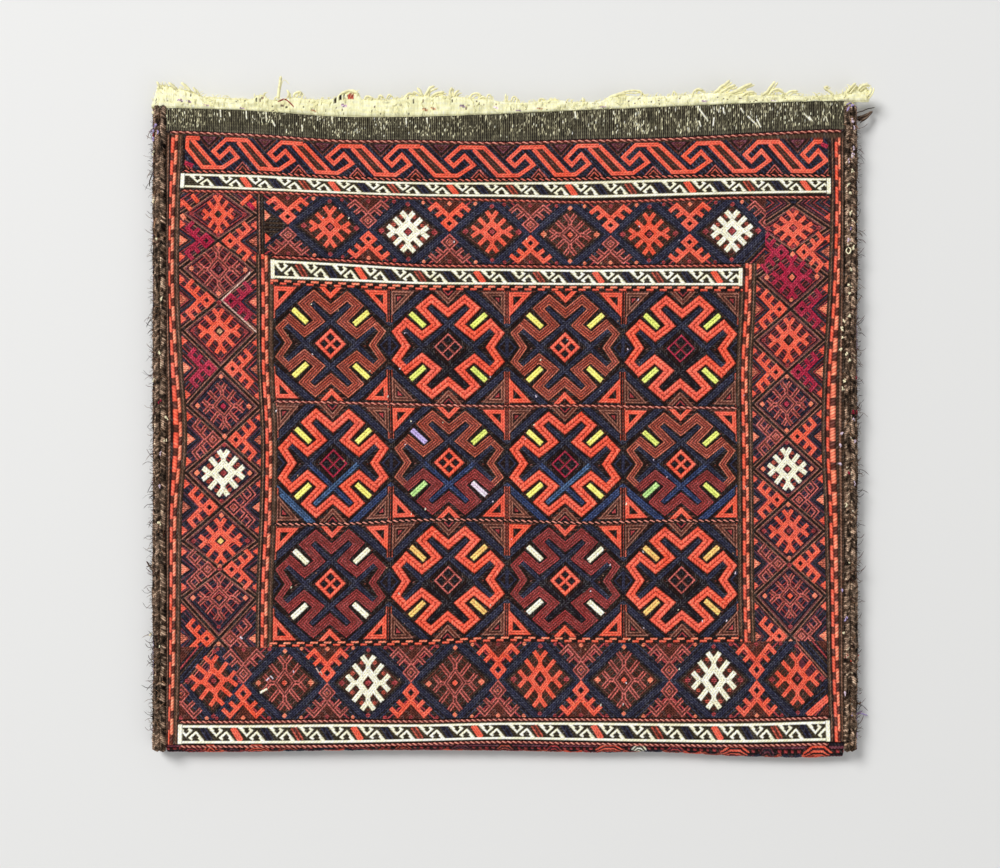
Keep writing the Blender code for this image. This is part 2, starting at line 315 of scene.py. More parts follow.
def stitchRun(cloth, points, rows, width=None, closed=False, clip=None, lift=0.0):
    # rows of wrapping side by side along a line, turning its corners like a mitred frame
    rows, width = rowList(rows), width or stitch["row"]
    laid["runs"] += 1
    points = [np.array(point, float) for point in points]
    legs = list(zip(points, points[1:] + points[:1] if closed else points[1:]))
    ways = [(b - a) / np.linalg.norm(b - a) for a, b in legs]
    half, gone = width * len(rows) / 2, 0.0
    reach = stitch["mitre"] * half
    for k, (a, b) in enumerate(legs):
        d = ways[k]
        before = ways[k - 1] if closed or k > 0 else d
        after = ways[(k + 1) % len(ways)] if closed or k + 1 < len(ways) else d
        window, u, v = windowOf(cloth, np.minimum(a, b) - reach, np.maximum(a, b) + reach, clip)
        du, dv = u - a[0], v - a[1]
        span = np.linalg.norm(b - a)
        across, run = dv * d[0] - du * d[1], du * d[0] + dv * d[1]
        start, stop = d + before, d + after
        inside = (np.abs(across) < half) & (du * start[0] + dv * start[1] >= 0)
        inside &= (du - (b - a)[0]) * stop[0] + (dv - (b - a)[1]) * stop[1] <= 0
        inside &= (run > -reach) & (run < span + reach)
        layRows(cloth, window, inside, half - across, gone + run, rows, width, lift)
        gone += span


def stitchPatch(cloth, points, rows, way=(1.0, 0.0), width=None, clip=None, lift=0.0, depth=1.0):
    # a filled shape without hollows; its rows run the given way
    rows, width = rowList(rows), width or stitch["row"]
    laid["runs"] += 1
    points = np.array(points, float)
    window, u, v = windowOf(cloth, points.min(0), points.max(0), clip)
    turn = points - np.roll(points, 1, axis=0)
    after = np.roll(turn, -1, 0)
    sense = np.sign(np.sum(turn[:, 0] * after[:, 1] - turn[:, 1] * after[:, 0]))
    inside = np.ones((v.shape[0], u.shape[1]), bool)
    for a, b in zip(points, np.roll(points, -1, axis=0)):
        inside &= ((b[0] - a[0]) * (v - a[1]) - (b[1] - a[1]) * (u - a[0])) * sense >= 0
    d = np.array(way) / np.linalg.norm(way)
    middle = points.mean(0)
    across = (u - middle[0]) * d[1] - (v - middle[1]) * d[0] + 60 * width * len(rows)
    along = (u - middle[0]) * d[0] + (v - middle[1]) * d[1]
    layRows(cloth, window, inside, across, along, rows, width, lift, repeat=True, depth=depth)


def stitchNest(cloth, points, rows, width=None, clip=None, lift=0.0):
    # a shape without hollows, filled with rows that follow its outline inwards
    rows, width = rowList(rows), width or stitch["row"]
    laid["runs"] += 1
    points = np.array(points, float)
    window, u, v = windowOf(cloth, points.min(0), points.max(0), clip)
    middle = points.mean(0)
    depth = np.full((v.shape[0], u.shape[1]), np.inf)
    along = np.zeros_like(depth)
    for a, b in zip(points, np.roll(points, -1, axis=0)):
        way = (b - a) / np.linalg.norm(b - a)
        out = np.array([way[1], -way[0]]) * np.sign((a - middle) @ [way[1], -way[0]])
        near = (a[0] - u) * out[0] + (a[1] - v) * out[1]
        closer = near < depth
        depth = np.where(closer, near, depth)
        along = np.where(closer, (u - a[0]) * way[0] + (v - a[1]) * way[1], along)
    layRows(cloth, window, depth > 0, np.abs(depth), along, rows, width, lift)


def rectangle(low, high):
    return [low, (high[0], low[1]), high, (low[0], high[1])]


def diamond(x, y):
    return [(0, y), (x, 0), (0, -y), (-x, 0)]


def placed(points, middle, flip=(1, 1)):
    return [(middle[0] + x * flip[0], middle[1] + y * flip[1]) for x, y in points]


def needleAt(cloth, middle, clip=None):
    # runs and nests drawn about a middle, turned over by flip and kept inside a limit
    def run(points, rows, width=None, flip=(1, 1), lift=0.0, closed=False):
        stitchRun(cloth, placed(points, middle, flip), rows, width, closed, clip, lift)

    def nest(points, rows, width=None, flip=(1, 1)):
        stitchNest(cloth, placed(points, middle, flip), rows, width, clip)

    return run, nest


corners = [(1, 1), (-1, 1), (-1, -1), (1, -1)]

# ---- hooked medallions of the field
medallionChart = {
    # a quarter of the loop: two hooks from the upper notch, then the side arm down to the side notch
    "hook": [(0, 16.4), (7.8, 23.0), (12.9, 18.6), (5.4, 10.7), (12.3, 5.2), (19.7, 11.4)],
    "arm": [(19.7, 11.4), (24.4, 6.7), (19.7, 0)],
    "bars": [(-8.8, 18.9), (11.8, 0.2), (20.9, -8.6)],
    "cornerBar": [(8.6, 28.4), (29.4, 9.6)],
    "cornerLeg": (10.9, 11.9),
    "pocket": [(8.6, 7.4), (20.4, 17.6)],
    "tab": [(11.1, 9.7), (17.8, 15.9)],
    "heart": (6.2, 6.2),
    "notch": 21.2, "nest": 20.4, "sideNotch": 18.8,
    "redRow": 1.84, "brownRow": 0.55, "tabRow": 1.26,
}
# For each medallion: its colour, its tabs (upper right, upper left, lower left, lower right),
# its heart, and the dye of its lower bars
medallionDyes = {
    (1, 1): ("walnut", "yellow", "madder", "indigo"), (1, 2): ("madder", "lime", "bark", "night"),
    (1, 3): ("walnut", "yellow", "madder", "indigo"), (1, 4): ("madder", "lime", "crimson", "night"),
    (2, 1): ("madder", "yellow", "crimson", "sky"),
    (2, 2): ("rust", "lime lilac leaf paleLilac", "madder", "sky"),
    (2, 3): ("madder", "yellow", "crimson", "sky"),
    (2, 4): ("rust", "lime lime leaf lime", "madder", "indigo"),
    (3, 1): ("wine", "ivory", "madder", "indigo"), (3, 2): ("madder", "ochre", "wine", "night"),
    (3, 3): ("wine", "ivory", "madder", "night"), (3, 4): ("madder", "ochre", "wine", "night"),
}
footDyes = {(2, 2): "wine", (2, 4): "wine"}  # where the lower hooks change colour
blueBars = {
    # lower left and lower right bar, left and right corner bar
    (2, 1): ("sky", "azure", "sky", "azure"), (2, 2): ("azure", "azure", "indigo", "indigo"),
    (2, 3): ("sky", "azure", "azure", "azure"), (2, 4): ("azure", "azure", "azure", "azure"),
}
medallionRows = {
    "pocket": "olive soot bark soot bark soot olive",
    "side": "soot walnut soot walnut soot",
    "sideNest": "olive indigo night indigo soot night indigo",
    "under": "soot olive olive olive olive soot",
    # rows and their width round a red loop, then round a brown one
    "corner": [("clay bark clay soot wine soot wine night", 0.66), ("madder madder soot olive bark", 1.04)],
    "peak": [("clay umber clay soot wine night", 0.68), ("madder madder soot bark", 1.06)],
}


def medallion(cloth, row, column):
    node = f"medallion_{row}_{column}"
    low = (lowOf(node, 0) - 0.2, lowOf(node, 1) - 0.2)
    high = (highOf(node, 0) + 0.2, low[1] + 54.3)
    middle = ((low[0] + high[0]) / 2, (low[1] + high[1]) / 2)
    run, nest = needleAt(cloth, middle, (low, high))
    chart, look = medallionChart, medallionRows
    dye, tabs, heart, lowBars = medallionDyes[row, column]
    isBrown = dye != "madder"
    blues = blueBars.get((row, column), (lowBars, lowBars, "indigo", "indigo"))
    barDye = {(1, -1): blues[0], (-1, -1): blues[1]}
    cornerDye = {(-1, -1): blues[2], (1, -1): blues[3]}
    stitchPatch(cloth, rectangle(low, high), "bark soot", clip=(low, high), lift=-0.2)
    for flip in corners:
        run(chart["pocket"], look["pocket"], 0.95, flip, -0.1)
        shade = cornerDye.get(flip, "indigo")
        run(chart["cornerBar"], f"soot {shade} {shade} {shade} soot", 1.02, flip)
        run([(27.2, 28), (27.2, 11.4)], look["side"], 0.6, flip)
        x, y = high[0] - middle[0] - 1.0, high[1] - middle[1] - 0.8
        legX, legY = chart["cornerLeg"]
        nest([(x, y), (x - legX, y), (x, y - legY)], *look["corner"][isBrown], flip)
    for flip in (1, -1):
        edge = chart["sideNotch"]
        nest([(edge, 0), (edge + 12, 12.6), (edge + 12, -12.6)], look["sideNest"], 0.98, (flip, 1))
        start = chart["notch"] if isBrown else chart["nest"]
        nest([(0, start), (11, start + 11.6), (-11, start + 11.6)], *look["peak"][isBrown], (1, flip))
    loop = []
    for k, flip in enumerate([(1, 1), (1, -1), (-1, -1), (-1, 1)]):
        quarter = placed(chart["hook"] + chart["arm"][1:], (0, 0), flip)
        loop += quarter[:-1] if k % 2 == 0 else quarter[:0:-1]
    run(loop, look["under"], 0.92, lift=-0.1, closed=True)
    for flip in corners:
        run(chart["bars"], "soot soot soot soot", 1.16, flip)
    for flip in corners:
        first, crossing, last = chart["bars"]
        run([crossing, last], "indigo indigo", 1.14, flip)
        run([first, crossing], [barDye.get(flip, "indigo")] * 2, 1.14, flip)
    stitchHeart(cloth, middle, heart)
    stitchLoop(run, dye, footDyes.get((row, column), dye))
    for flip, tab in zip(corners, tabs.split() * 4):
        run(chart["tab"], f"soot {tab} {tab} soot", chart["tabRow"], flip)


def loopRows(dye, count):
    # a red loop is two broad rows, a brown one several fine rows
    if dye == "madder":
        return ["madder"] * 2, medallionChart["redRow"]
    side, core = (dye, dye) if dye == "wine" else ("rust", "walnut")
    return [side] + ["umber", core] * count + ["umber", side], medallionChart["brownRow"]


def stitchLoop(run, dye, footDye):
    # the side arms first, then the upper and the lower hooks over their ends
    chart = medallionChart
    for flip in (1, -1):
        arm = chart["arm"] + placed(chart["arm"][-2::-1], (0, 0), (1, -1))
        run(arm, *loopRows(dye, 1), (flip, 1), 0.1)
    for flip, shade in ((1, dye), (-1, footDye)):
        rows, width = loopRows(shade, 2)
        half = width * len(loopRows(shade, 1)[0]) / 2
        (ax, ay), (bx, by) = chart["hook"][-2:]
        long = math.hypot(bx - ax, by - ay)
        hooks = chart["hook"][:-1] + [(bx + (bx - ax) * half / long, by + (by - ay) * half / long)]
        run(placed(hooks, (0, 0), (-1, 1))[:0:-1] + hooks, rows, width, (1, flip), 0.12)


def stitchHeart(cloth, middle, dye):
    # the small latticed diamond at a medallion's middle
    x, y = medallionChart["heart"]
    line, bar, lineWide, barWide = dye, dye, 1.75, 1.5
    if dye in ("bark", "wine", "crimson"):
        line, lineWide, barWide = "crimson" if dye == "crimson" else "rose", 0.8, 0.6
        bar = f"bark {line}"
    run, nest = needleAt(cloth, middle)
    stitchPatch(cloth, placed(diamond(x * 1.3, y * 1.3), middle), "soot")
    nest(diamond(x, y), "soot night soot", 1.0)
    for lean in (1, -1):
        run([(-x / 2, lean * y / 2), (x / 2, -lean * y / 2)], bar, barWide)
    run(diamond(x, y), line, lineWide, lift=0.05, closed=True)


# ---- stars and ram's horns of the diamond borders
starCharts = {
    # half sizes of the ring; where the side arms part and end; the same for the upper arms; the stubs
    "low": ((4.2, 4.1), 6.1, (9.4, 2.4), 6.2, (2.5, 9.7), (6.2, 6.2)),
    "lowIvory": ((4.3, 4.1), 6.2, (9.4, 2.5), 6.0, (2.9, 9.2), (6.3, 6.2)),
    "tall": ((4.4, 5.9), 6.6, (9.9, 3.7), 8.8, (2.9, 12.7), (6.8, 8.7)),
    "side": ((4.5, 4.6), 6.4, (9.6, 2.7), 7.0, (2.3, 10.2), (6.3, 6.9)),
}
outlined = ("walnut", "plum", "wine", "bark", "indigo")  # dyes drawn as two fine lines
ramChart = {
    "ring": 2.8, "neck": (0, -3.3), "arm": (6.1, -9.3), "hook": (9.5, -6.3),
    "stubRoot": (3.0, -6.1), "stub": (6.2, -3.4),
}


def strokeOf(dye):
    # rows and their width for a stroke of a star or a horn
    if dye in outlined:
        edge = {"walnut": "rose", "bark": "rust", "plum": "rose", "indigo": "rose"}.get(dye, dye)
        return [edge, "night" if dye == "indigo" else "bark", edge], 0.7
    return [dye, dye], 1.17 if dye == "ivory" else 1.02


def star(cloth, middle, chart, dye, heart, clip, wide=1.0, tall=1.0, lean=0.0):
    def at(points, flip=(1, 1)):
        turned = [(x - lean * y, y + lean * x) for x, y in placed(points, (0, 0), flip)]
        return placed([(x * wide, y * tall) for x, y in turned], middle)

    rows, width = strokeOf(dye)
    width *= min(1.0, (wide + tall) / 2 + 0.08)
    draw = partial(stitchRun, cloth, clip=clip, lift=0.05)
    (rx, ry), side, sideEnd, top, topEnd, stub = chart
    for flip in corners:
        if dye == "ivory":
            for x, y in ((rx * 0.68, stub[1] + 0.9), (stub[0] + 0.5, ry * 0.76)):
                blot(cloth, at([(x, y)], flip)[0], "walnut", 1.25, clip)
        for line in ([(rx / 2, ry / 2), stub], [(0, top), topEnd], [(side, 0), sideEnd]):
            draw(at(line, flip), rows, width)
    for turn in (1, -1):
        draw(at([(0, ry), (0, top + 0.6)], (1, turn)), rows, width)
        draw(at([(rx, 0), (side + 0.6, 0)], (turn, 1)), rows, width)
    isFine = dye in outlined
    draw(at(diamond(rx, ry)), rows if isFine else [dye] * 3, width * (0.8 if isFine else 0.84), closed=True)
    blot(cloth, middle, "soot", 2.3 * (wide + tall) / 2, clip)
    blot(cloth, middle, heart, 1.7 if dye == "ivory" else 1.5, clip)


def ram(cloth, middle, turn, dye, clip, size=1.0, tall=1.0):
    # ring with two horned arms; turn is where its horns point, as a unit step
    def at(points):
        points = [(x * size, y * size * tall) for x, y in points]
        return placed([(-turn[1] * x - turn[0] * y, turn[0] * x - turn[1] * y) for x, y in points], middle)

    chart = ramChart
    rows, width = strokeOf(dye)
    draw = partial(stitchRun, cloth, rows=rows, width=width, clip=clip, lift=0.05)
    for side in (1, -1):
        draw(at([chart["neck"]] + placed([chart["arm"], chart["hook"]], (0, 0), (side, 1))))
        draw(at(placed([chart["stubRoot"], chart["stub"]], (0, 0), (side, 1))))
    draw(at(diamond(chart["ring"], chart["ring"])), closed=True)
    blot(cloth, middle, "rust" if dye in outlined else "soot", 0.9, clip)


def blot(cloth, middle, dye, size=1.3, clip=None):
    stitchPatch(cloth, placed(diamond(size, size), middle), dye, clip=clip, width=0.9, lift=0.1)


# Pixel places of the stars and of the navy lines' crossings in the two cross borders
topBorder = {
    "stars": [
        (330, 227, "madder"), (408, 232, "ivory"), (492, 232, "madder"), (570, 235, "walnut"),
        (649, 234, "madder"), (732, 231, "ivory"),
    ],
    "crossings": [288, 368.5, 449.5, 530.5, 610.5, 689.5, 767],
    "upper": "madder walnut madder walnut madder madder walnut",
    "lower": "walnut madder walnut madder walnut madder none",
    "ringGap": 4.4, "tall": 0.94, "reach": (-115.0, 122.0),
}
bottomBorder = {
    "stars": [
        (213.5, 681, "madder"), (284.5, 683, "walnut"), (368, 683, "ivory"), (455, 683, "walnut"),
        (540, 679, "madder"), (624, 680, "walnut"), (714, 680.5, "ivory"), (797.5, 679, "madder"),
    ],
    "crossings": [181, 243, 327, 411, 498, 581, 669.5, 757, 832],
    "upper": "none plum madder walnut madder walnut walnut madder none",
    "lower": "plum madder walnut madder walnut madder walnut madder none",
    "ringGap": 4.7, "tall": 1.16, "reach": (-153.4, 153.4),
}
crossRows = {
    "wedge": "indigo night indigo olive night wine night bark",
    "diamond": "indigo indigo night olive bark olive bark olive bark olive bark",
    "corner": "soot clay soot rose night plum night plum",
}


def crossBorder(cloth, border, node, tallBand, shape):
    foot = lowOf(node, 1) - 0.2
    head = foot + tallBand + 0.3
    clip = ((border["reach"][0], foot), (border["reach"][1], head))
    level, rise = (foot + head) / 2, (head - foot) / 2 + 1.4
    pixelUp = photo["middleY"] - level / photo["scale"]
    centres = [loomOf(px, py)[0] for px, py, _ in border["stars"]]
    knots = [loomOf(px, pixelUp)[0] for px in border["crossings"]]
    between = [knots[0] - 22] + centres + [knots[-1] + 22]
    over = (rise + 8) / rise
    for knot, left, right in zip(knots, between, between[1:]):
        for up in (-1, 1):
            edge = level + up * (rise + 8)
            wedge = [
                (knot, level), (knot + (right - knot) * over, edge), (knot + (left - knot) * over, edge),
            ]
            stitchNest(cloth, wedge, crossRows["wedge"], 0.92, clip)
    for (px, py, dye), centre, left, right in zip(border["stars"], centres, knots, knots[1:]):
        outline = [(left, level), (centre, level + rise), (right, level), (centre, level - rise)]
        stitchNest(cloth, outline, crossRows["diamond"], 0.92, clip)
        place = (centre, loomOf(px, py)[1])
        chart = starCharts["lowIvory" if shape == "low" and dye == "ivory" else shape]
        wide, tall, lean = 1.0, 1.0, 0.12 if centre < -125 else 0.0
        if shape == "tall" and abs(centre) > 125:
            wide, tall = 1.06, 0.92
            outer = (
                ((clip[0][0], level), (centre, clip[1][1])) if centre < 0 else ((centre, level), clip[1])
            )
            stitchNest(cloth, outline, crossRows["corner"], 0.64, outer)
        star(cloth, place, chart, dye, "madder" if dye == "walnut" else "wine", clip, wide, tall, lean)
        bead = "coral" if dye == "walnut" else "wine"
        for side in (-1, 1):
            blot(cloth, (place[0] + side * 12.4, place[1]), bead, 1.6, clip)
            blot(cloth, (place[0], level + side * (rise - 3.4)), bead, 1.25, clip)
    for k, (knot, above, below) in enumerate(zip(knots, border["upper"].split(), border["lower"].split())):
        for up, dye in ((1, above), (-1, below)):
            if dye == "none":
                continue
            ram(cloth, (knot, level + up * border["ringGap"]), (0, up), dye, clip, tall=border["tall"])
            blot(cloth, (knot, level + up * (rise - 2.6)), "wine" if (k + up) % 3 else "coral", 1.2, clip)
            for side in (-1, 1):
                bead = "coral" if (k + side) % 2 else "wine"
                blot(cloth, (knot + side * 12.2, level + up * (rise - 2.4)), bead, 1.1, clip)


# Small placed lines: rows, width of a row, lift over the cloth, then pixel places along the line
cornerLines = [
    # one slanted bar fills the lower right corner
    ("madder madder madder", 1.05, 0.05, 808, 716, 829, 698),
    ("soot indigo soot", 1.05, 0.05, 804, 708, 826, 689),
]
oddBits = [
    # bits of other yarn in the bottom border
    ("ivory", 1.1, 0.15, 260, 693, 267, 689), ("paleLilac", 0.6, 0.15, 266, 681, 269, 678),
    ("paleLilac", 0.6, 0.15, 270, 676, 273, 679), ("blush", 0.6, 0.15, 316, 668, 319, 673),
    ("blush", 0.6, 0.15, 320, 671, 322, 675), ("paleLilac", 0.6, 0.15, 240, 637, 242, 639),
]
topCorner = [
    # odd bars in the top left corner, and one pale line
    ("madder madder", 1.05, 0.05, 181.5, 200.5, 191, 210),
    ("madder madder", 1.05, 0.05, 191.5, 194.5, 198, 202),
    ("madder madder", 1.05, 0.05, 241, 204.5, 251.5, 195),
    ("crimson crimson", 1.05, 0.05, 248, 203, 254, 209.5),
    ("coral coral", 1.05, 0.05, 181, 214, 184.5, 219),
    ("blush", 0.8, 0.1, 250.5, 272, 221.5, 300, 259, 334.5),
]


def placedLines(cloth, places, clip=None):
    for rows, width, lift, *line in places:
        line = [loomOf(*place) for place in np.reshape(line, (-1, 2))]
        stitchRun(cloth, line, rows, width, clip=clip, lift=lift)


# Pixel heights of the side borders' stars and the dyes of the horns between them
sideBorders = {
    "left": {
        "stars": [
            (214, "madder", "olive"), (269, "walnut", "plum"), (331, "madder", "tan"),
            (406, "plum", "crimson"), (473, "ivory", "wine"), (541, "madder", "ochre"),
            (598, "plum", "rust"), (679, "madder", "wine"),
        ],
        "outerHorns": "crimson madder crimson plum madder plum madder",
        "innerHorns": "madder crimson madder madder indigo madder plum",
        "middle": 219.5,
    },
    "right": {
        "stars": [
            (228, "madder", "wine"), (277, "crimson", "coral"), (340, "madder", "bark"),
            (404, "walnut", "crimson"), (469, "ivory", "wine"), (531, "madder", "wine"),
            (596, "walnut", "madder"), (678, "madder", "wine"),
        ],
        "outerHorns": "madder crimson crimson madder indigo madder plum",
        "innerHorns": "crimson madder madder plum madder plum madder",
        "middle": 790,
    },
}
sideRows = {
    # between the diamonds and inside them: upper part of the border, then its lower part
    "wedge": [
        "soot clay soot plum night wine" + " indigo bark night wine night" * 4,
        "soot clay soot plum" + " indigo night plum indigo soot" * 4,
    ],
    "diamond": [
        "soot clay plum soot wine" + " night plum bark night wine" * 4,
        "soot clay plum soot indigo" + " night plum indigo night wine" * 4,
    ],
}


def sideBorder(cloth, side):
    border, node = sideBorders[side], f"{side}_diamond_border"
    low = (lowOf(node, 0) - 0.3, lowOf(node, 1) - 0.2)
    high = (highOf(node, 0) + 0.3, lowOf("upper_ivory_twining", 1))
    clip = (low, high)
    outward = -1 if side == "left" else 1
    middle, halfWide = (low[0] + high[0]) / 2, (high[0] - low[0]) / 2
    heights = [loomOf(border["middle"], py)[1] for py, _, _ in border["stars"]]
    knots = [(a + b) / 2 for a, b in zip(heights, heights[1:])]
    ends = [2 * heights[0] - knots[0]] + knots + [2 * heights[-1] - knots[-1]]
    beside = [ends[0] + 14] + heights + [ends[-1] - 14]
    stitchPatch(cloth, rectangle(low, high), "night indigo night", clip=clip, lift=-0.15)
    span, reach = halfWide + 10, halfWide - 0.4
    for away in (-1, 1):
        for k, knot in enumerate(ends):
            far = [(middle + away * span, knot + (beside[k + i] - knot) * (span / reach)) for i in (0, 1)]
            stitchNest(cloth, [(middle, knot)] + far, sideRows["wedge"][k > 3], 0.6, clip)
    for k, (height, (_, dye, heart)) in enumerate(zip(heights, border["stars"])):
        top, foot = ends[k], ends[k + 1]
        outline = [(middle, top), (middle + reach, height), (middle, foot), (middle - reach, height)]
        stitchNest(cloth, outline, sideRows["diamond"][k > 2], 0.6, clip)
        tall = (top - foot) / 2
        wide = 0.72 if side == "left" and k == 0 else 1.0
        chart = starCharts["low" if side == "right" and k == 0 else "side"]
        share = min(1.0, tall / 13.6) * (0.8 + 0.2 * wide)
        star(cloth, (middle, height), chart, dye, heart, clip, wide, share, lean=0.04)
        bead = "coral" if dye in ("crimson", "walnut", "plum", "ivory") else "wine"
        for away in (-1, 1):
            blot(cloth, (middle + away * 12.4, height), bead, 1.4, clip)
            blot(cloth, (middle, height + away * (tall - 2.6)), "coral" if k % 2 else "wine", 1.3, clip)
            for up in (-1, 1):
                edge, start = middle + away * (halfWide + 0.4), height + up * 2.6
                wedge = [(edge, start), (edge, start + up * 4.8), (edge - away * 3.1, start + up * 2.4)]
                stitchPatch(cloth, wedge, "madder", width=1.0, clip=clip)
    for knot, outer, inner in zip(knots, border["outerHorns"].split(), border["innerHorns"].split()):
        for way, dye in ((outward, outer), (-outward, inner)):
            ram(cloth, (middle + way * 5.6, knot), (way, 0), dye, clip, 0.96)
            edge = middle + way * (halfWide + 0.4)
            wedge = [(edge, knot + 2.9), (edge, knot - 2.9), (edge - way * 4.2, knot)]
            bead = "coral" if dye in outlined or dye == "crimson" else "rust"
            stitchPatch(cloth, wedge, bead, width=1.0, clip=clip)
    if side == "left":
        placedLines(cloth, topCorner, clip)


# ---- running hooks under the header
runningHook = {
    # pixel places where each hook's bar begins at the top, and where the last one ends
    "starts": [180.5, 239.7, 295.8, 354, 411, 474, 533, 587.5, 645.5, 706.5, 766.5, 825.5],
    "unit": 27.8, "row": 0.98,
    "hook": [
        (-0.5, 2.0), (10.6, 14.4), (20.2, 14.4), (27.3, 9.4), (23.4, 5.1), (18.7, 9.8), (15.6, 6.8),
        (21.7, 1.0), (32.2, 1.0),
    ],
    "edge": [(4.3, 1.0), (17.2, 14.4)],
    "core": [(1.9, 1.6), (14.0, 14.0)],
    # place of each nest's tip, half its width and the level of its base
    "topNest": (13.3, 6.3, 7.6, -1.6), "footNest": (2.0, 11.0, 5.6, 17.2),
    "crimsonBits": [(188.5, 164, 4.2), (826, 145, 3.2)],  # pixel place and length
}


def hookBorder(cloth):
    foot = lowOf("s_hook_border", 1)
    top = foot + 15.4
    side = highOf("right_diamond_border", 0) + 1.4
    reach = side - 2.0
    clip = ((-reach, foot - 0.3), (reach, top + 0.2))
    stitchPatch(cloth, rectangle((-side, foot - 0.3), (side, top + 0.3)), "soot olive", (0, 1))
    stitchPatch(cloth, rectangle(*clip), "night indigo", (1, -1), clip=clip)
    hook = runningHook
    starts = [float(acrossOf(px)) for px in hook["starts"]]
    units = [(start, (after - start) / hook["unit"]) for start, after in zip(starts, starts[1:])]
    red = partial(stitchRun, cloth, rows="madder madder", width=hook["row"], lift=0.08)

    def down(points, unit):
        return [(unit[0] + x * unit[1], top - y) for x, y in points]

    def nest(shape, unit, beside, rows, width):
        apex, depth, half, base = shape
        points = [(apex + beside, depth), (apex + beside - half, base), (apex + beside + half, base)]
        stitchNest(cloth, down(points, unit), rows, width, clip)

    for unit in units:
        nest(hook["topNest"], unit, 0, "bark soot plum bark soot wine", 0.8)
        for beside in (0, hook["unit"]):
            nest(hook["footNest"], unit, beside, "rose soot walnut soot bark", 0.62)
        stitchRun(cloth, down(hook["core"], unit), "soot olive bark olive soot", 0.95, clip=clip)
    for unit in units:
        line = hook["hook"] if unit is not units[-1] else hook["hook"][:-1] + [(25.6, 1.0)]
        red(down(hook["edge"], unit), clip=clip)
        red(down(line, unit), clip=clip)
    left = -reach + 1.1
    stitchPatch(cloth, rectangle((-reach, top - 15.6), (left - 1.0, top + 0.2)), "night indigo", (0, 1))
    red([(left, top - 0.6), (left, top - 5.8)])
    red([(left - 0.6, top - 1.0), (left + 6.0, top - 1.0)])
    for px, py, long in hook["crimsonBits"]:
        u, v = loomOf(px, py)
        u, v = min(u, reach - long / 2), max(v, foot + 1.6)
        stitchRun(cloth, [(u - long / 2, v + 0.7), (u + long / 2, v - 0.7)], "crimson crimson", 1.0)


# ---- ivory bands with slanted bars and little hooks
longBars = "navy red navy brown red" + " navy brown navy red" * 4
ivoryBands = {
    # the bars' dyes, pixel places of the first and the last bar, height of the band
    "upper_ivory_band": (longBars, 218, 803, 7.8),
    "inner_ivory_band": ("navy brown" + " navy red navy brown" * 3 + " navy red", 272, 713.5, 7.8),
    "lower_ivory_band": ("navy red" + " navy brown navy red" * 4 + " navy brown navy", 209, 804, 7.7),
}
barDyes = {"navy": "indigo night indigo", "red": "madder madder madder", "brown": "walnut bark walnut"}
ivoryHook = {
    # from a bar's place and the band's middle: part that shrinks with the pitch, fixed part, height
    "upper": [(0, 0.9, 3.0), (4.6, 0, -0.5), (6.9, 0, 1.5), (5.6, 0, 2.3)],
    "lower": [(7.6, 0, -2.2), (6.4, 0, -1.4), (9.2, 0, 0.8), (12.7, 0, -3.0)],
    "upperRoot": [(0, 1.6, 2.9), (0, 3.4, 1.2)],
    "lowerRoot": [(12.2, 0, -2.9), (10.4, 0, -1.2)],
    "row": 0.98, "rootRow": 1.2, "pitch": 13.9,
}


def ivoryBand(cloth, node):
    bars, start, end, height = ivoryBands[node]
    foot, half = lowOf(node, 1), highOf(node, 0)
    low, high = (-half - 0.6, foot - 0.2), (half + 0.6, foot + height + 0.1)
    middle = foot + height / 2
    draw = partial(stitchRun, cloth, clip=(low, high))
    stitchPatch(cloth, rectangle(low, high), "moss", clip=(low, high), lift=-0.15)
    names = bars.split()
    pitch = (end - start) / (len(names) - 1) * photo["scale"]
    gap = pitch / ivoryHook["pitch"]
    for k in range(-1, len(names)):
        at = float(acrossOf(start)) + k * pitch
        if k >= 0:
            draw([(at - 2.0, middle + 2.8), (at + 2.0, middle - 2.8)], barDyes[names[k]], 0.9)
        for part in ("upper", "lower", "upperRoot", "lowerRoot"):
            line = [(at + x * gap + fixed, middle + y) for x, fixed, y in ivoryHook[part]]
            draw(line, "ivory", ivoryHook["rootRow" if "Root" in part else "row"], lift=0.06)
    for up in (-1, 1):
        level = middle + up * (height / 2 - 0.75)
        draw([(low[0], level), (high[0], level)], "ivory", 1.02, lift=0.1)
    for side in (-1, 1):
        edge = side * (half - 0.2)
        draw([(edge, foot), (edge, foot + height)], "ivory ivory", 1.1, lift=0.1)


# ---- checked guards, check rows and the plain cloth round them
# A checked row: its two dyes, the length of a pair, the first one's share, the place of its start
checkRows = {
    "guard": [("madder", "bark", 10.6, 0.66, 0.1), ("coral", "bark", 10.6, 0.62, 0.6)],
    "field": [("coral", "soot", 6.4, 0.55, 0.0), ("madder", "soot", 6.4, 0.5, 0.32)],
    "edge": [
        ("goat", "goatDark", 2.3, 0.5, 0.2), ("goatDark", "goat", 3.1, 0.6, 0.0),
        ("goat", "soot", 2.7, 0.5, 0.4),
    ],
}


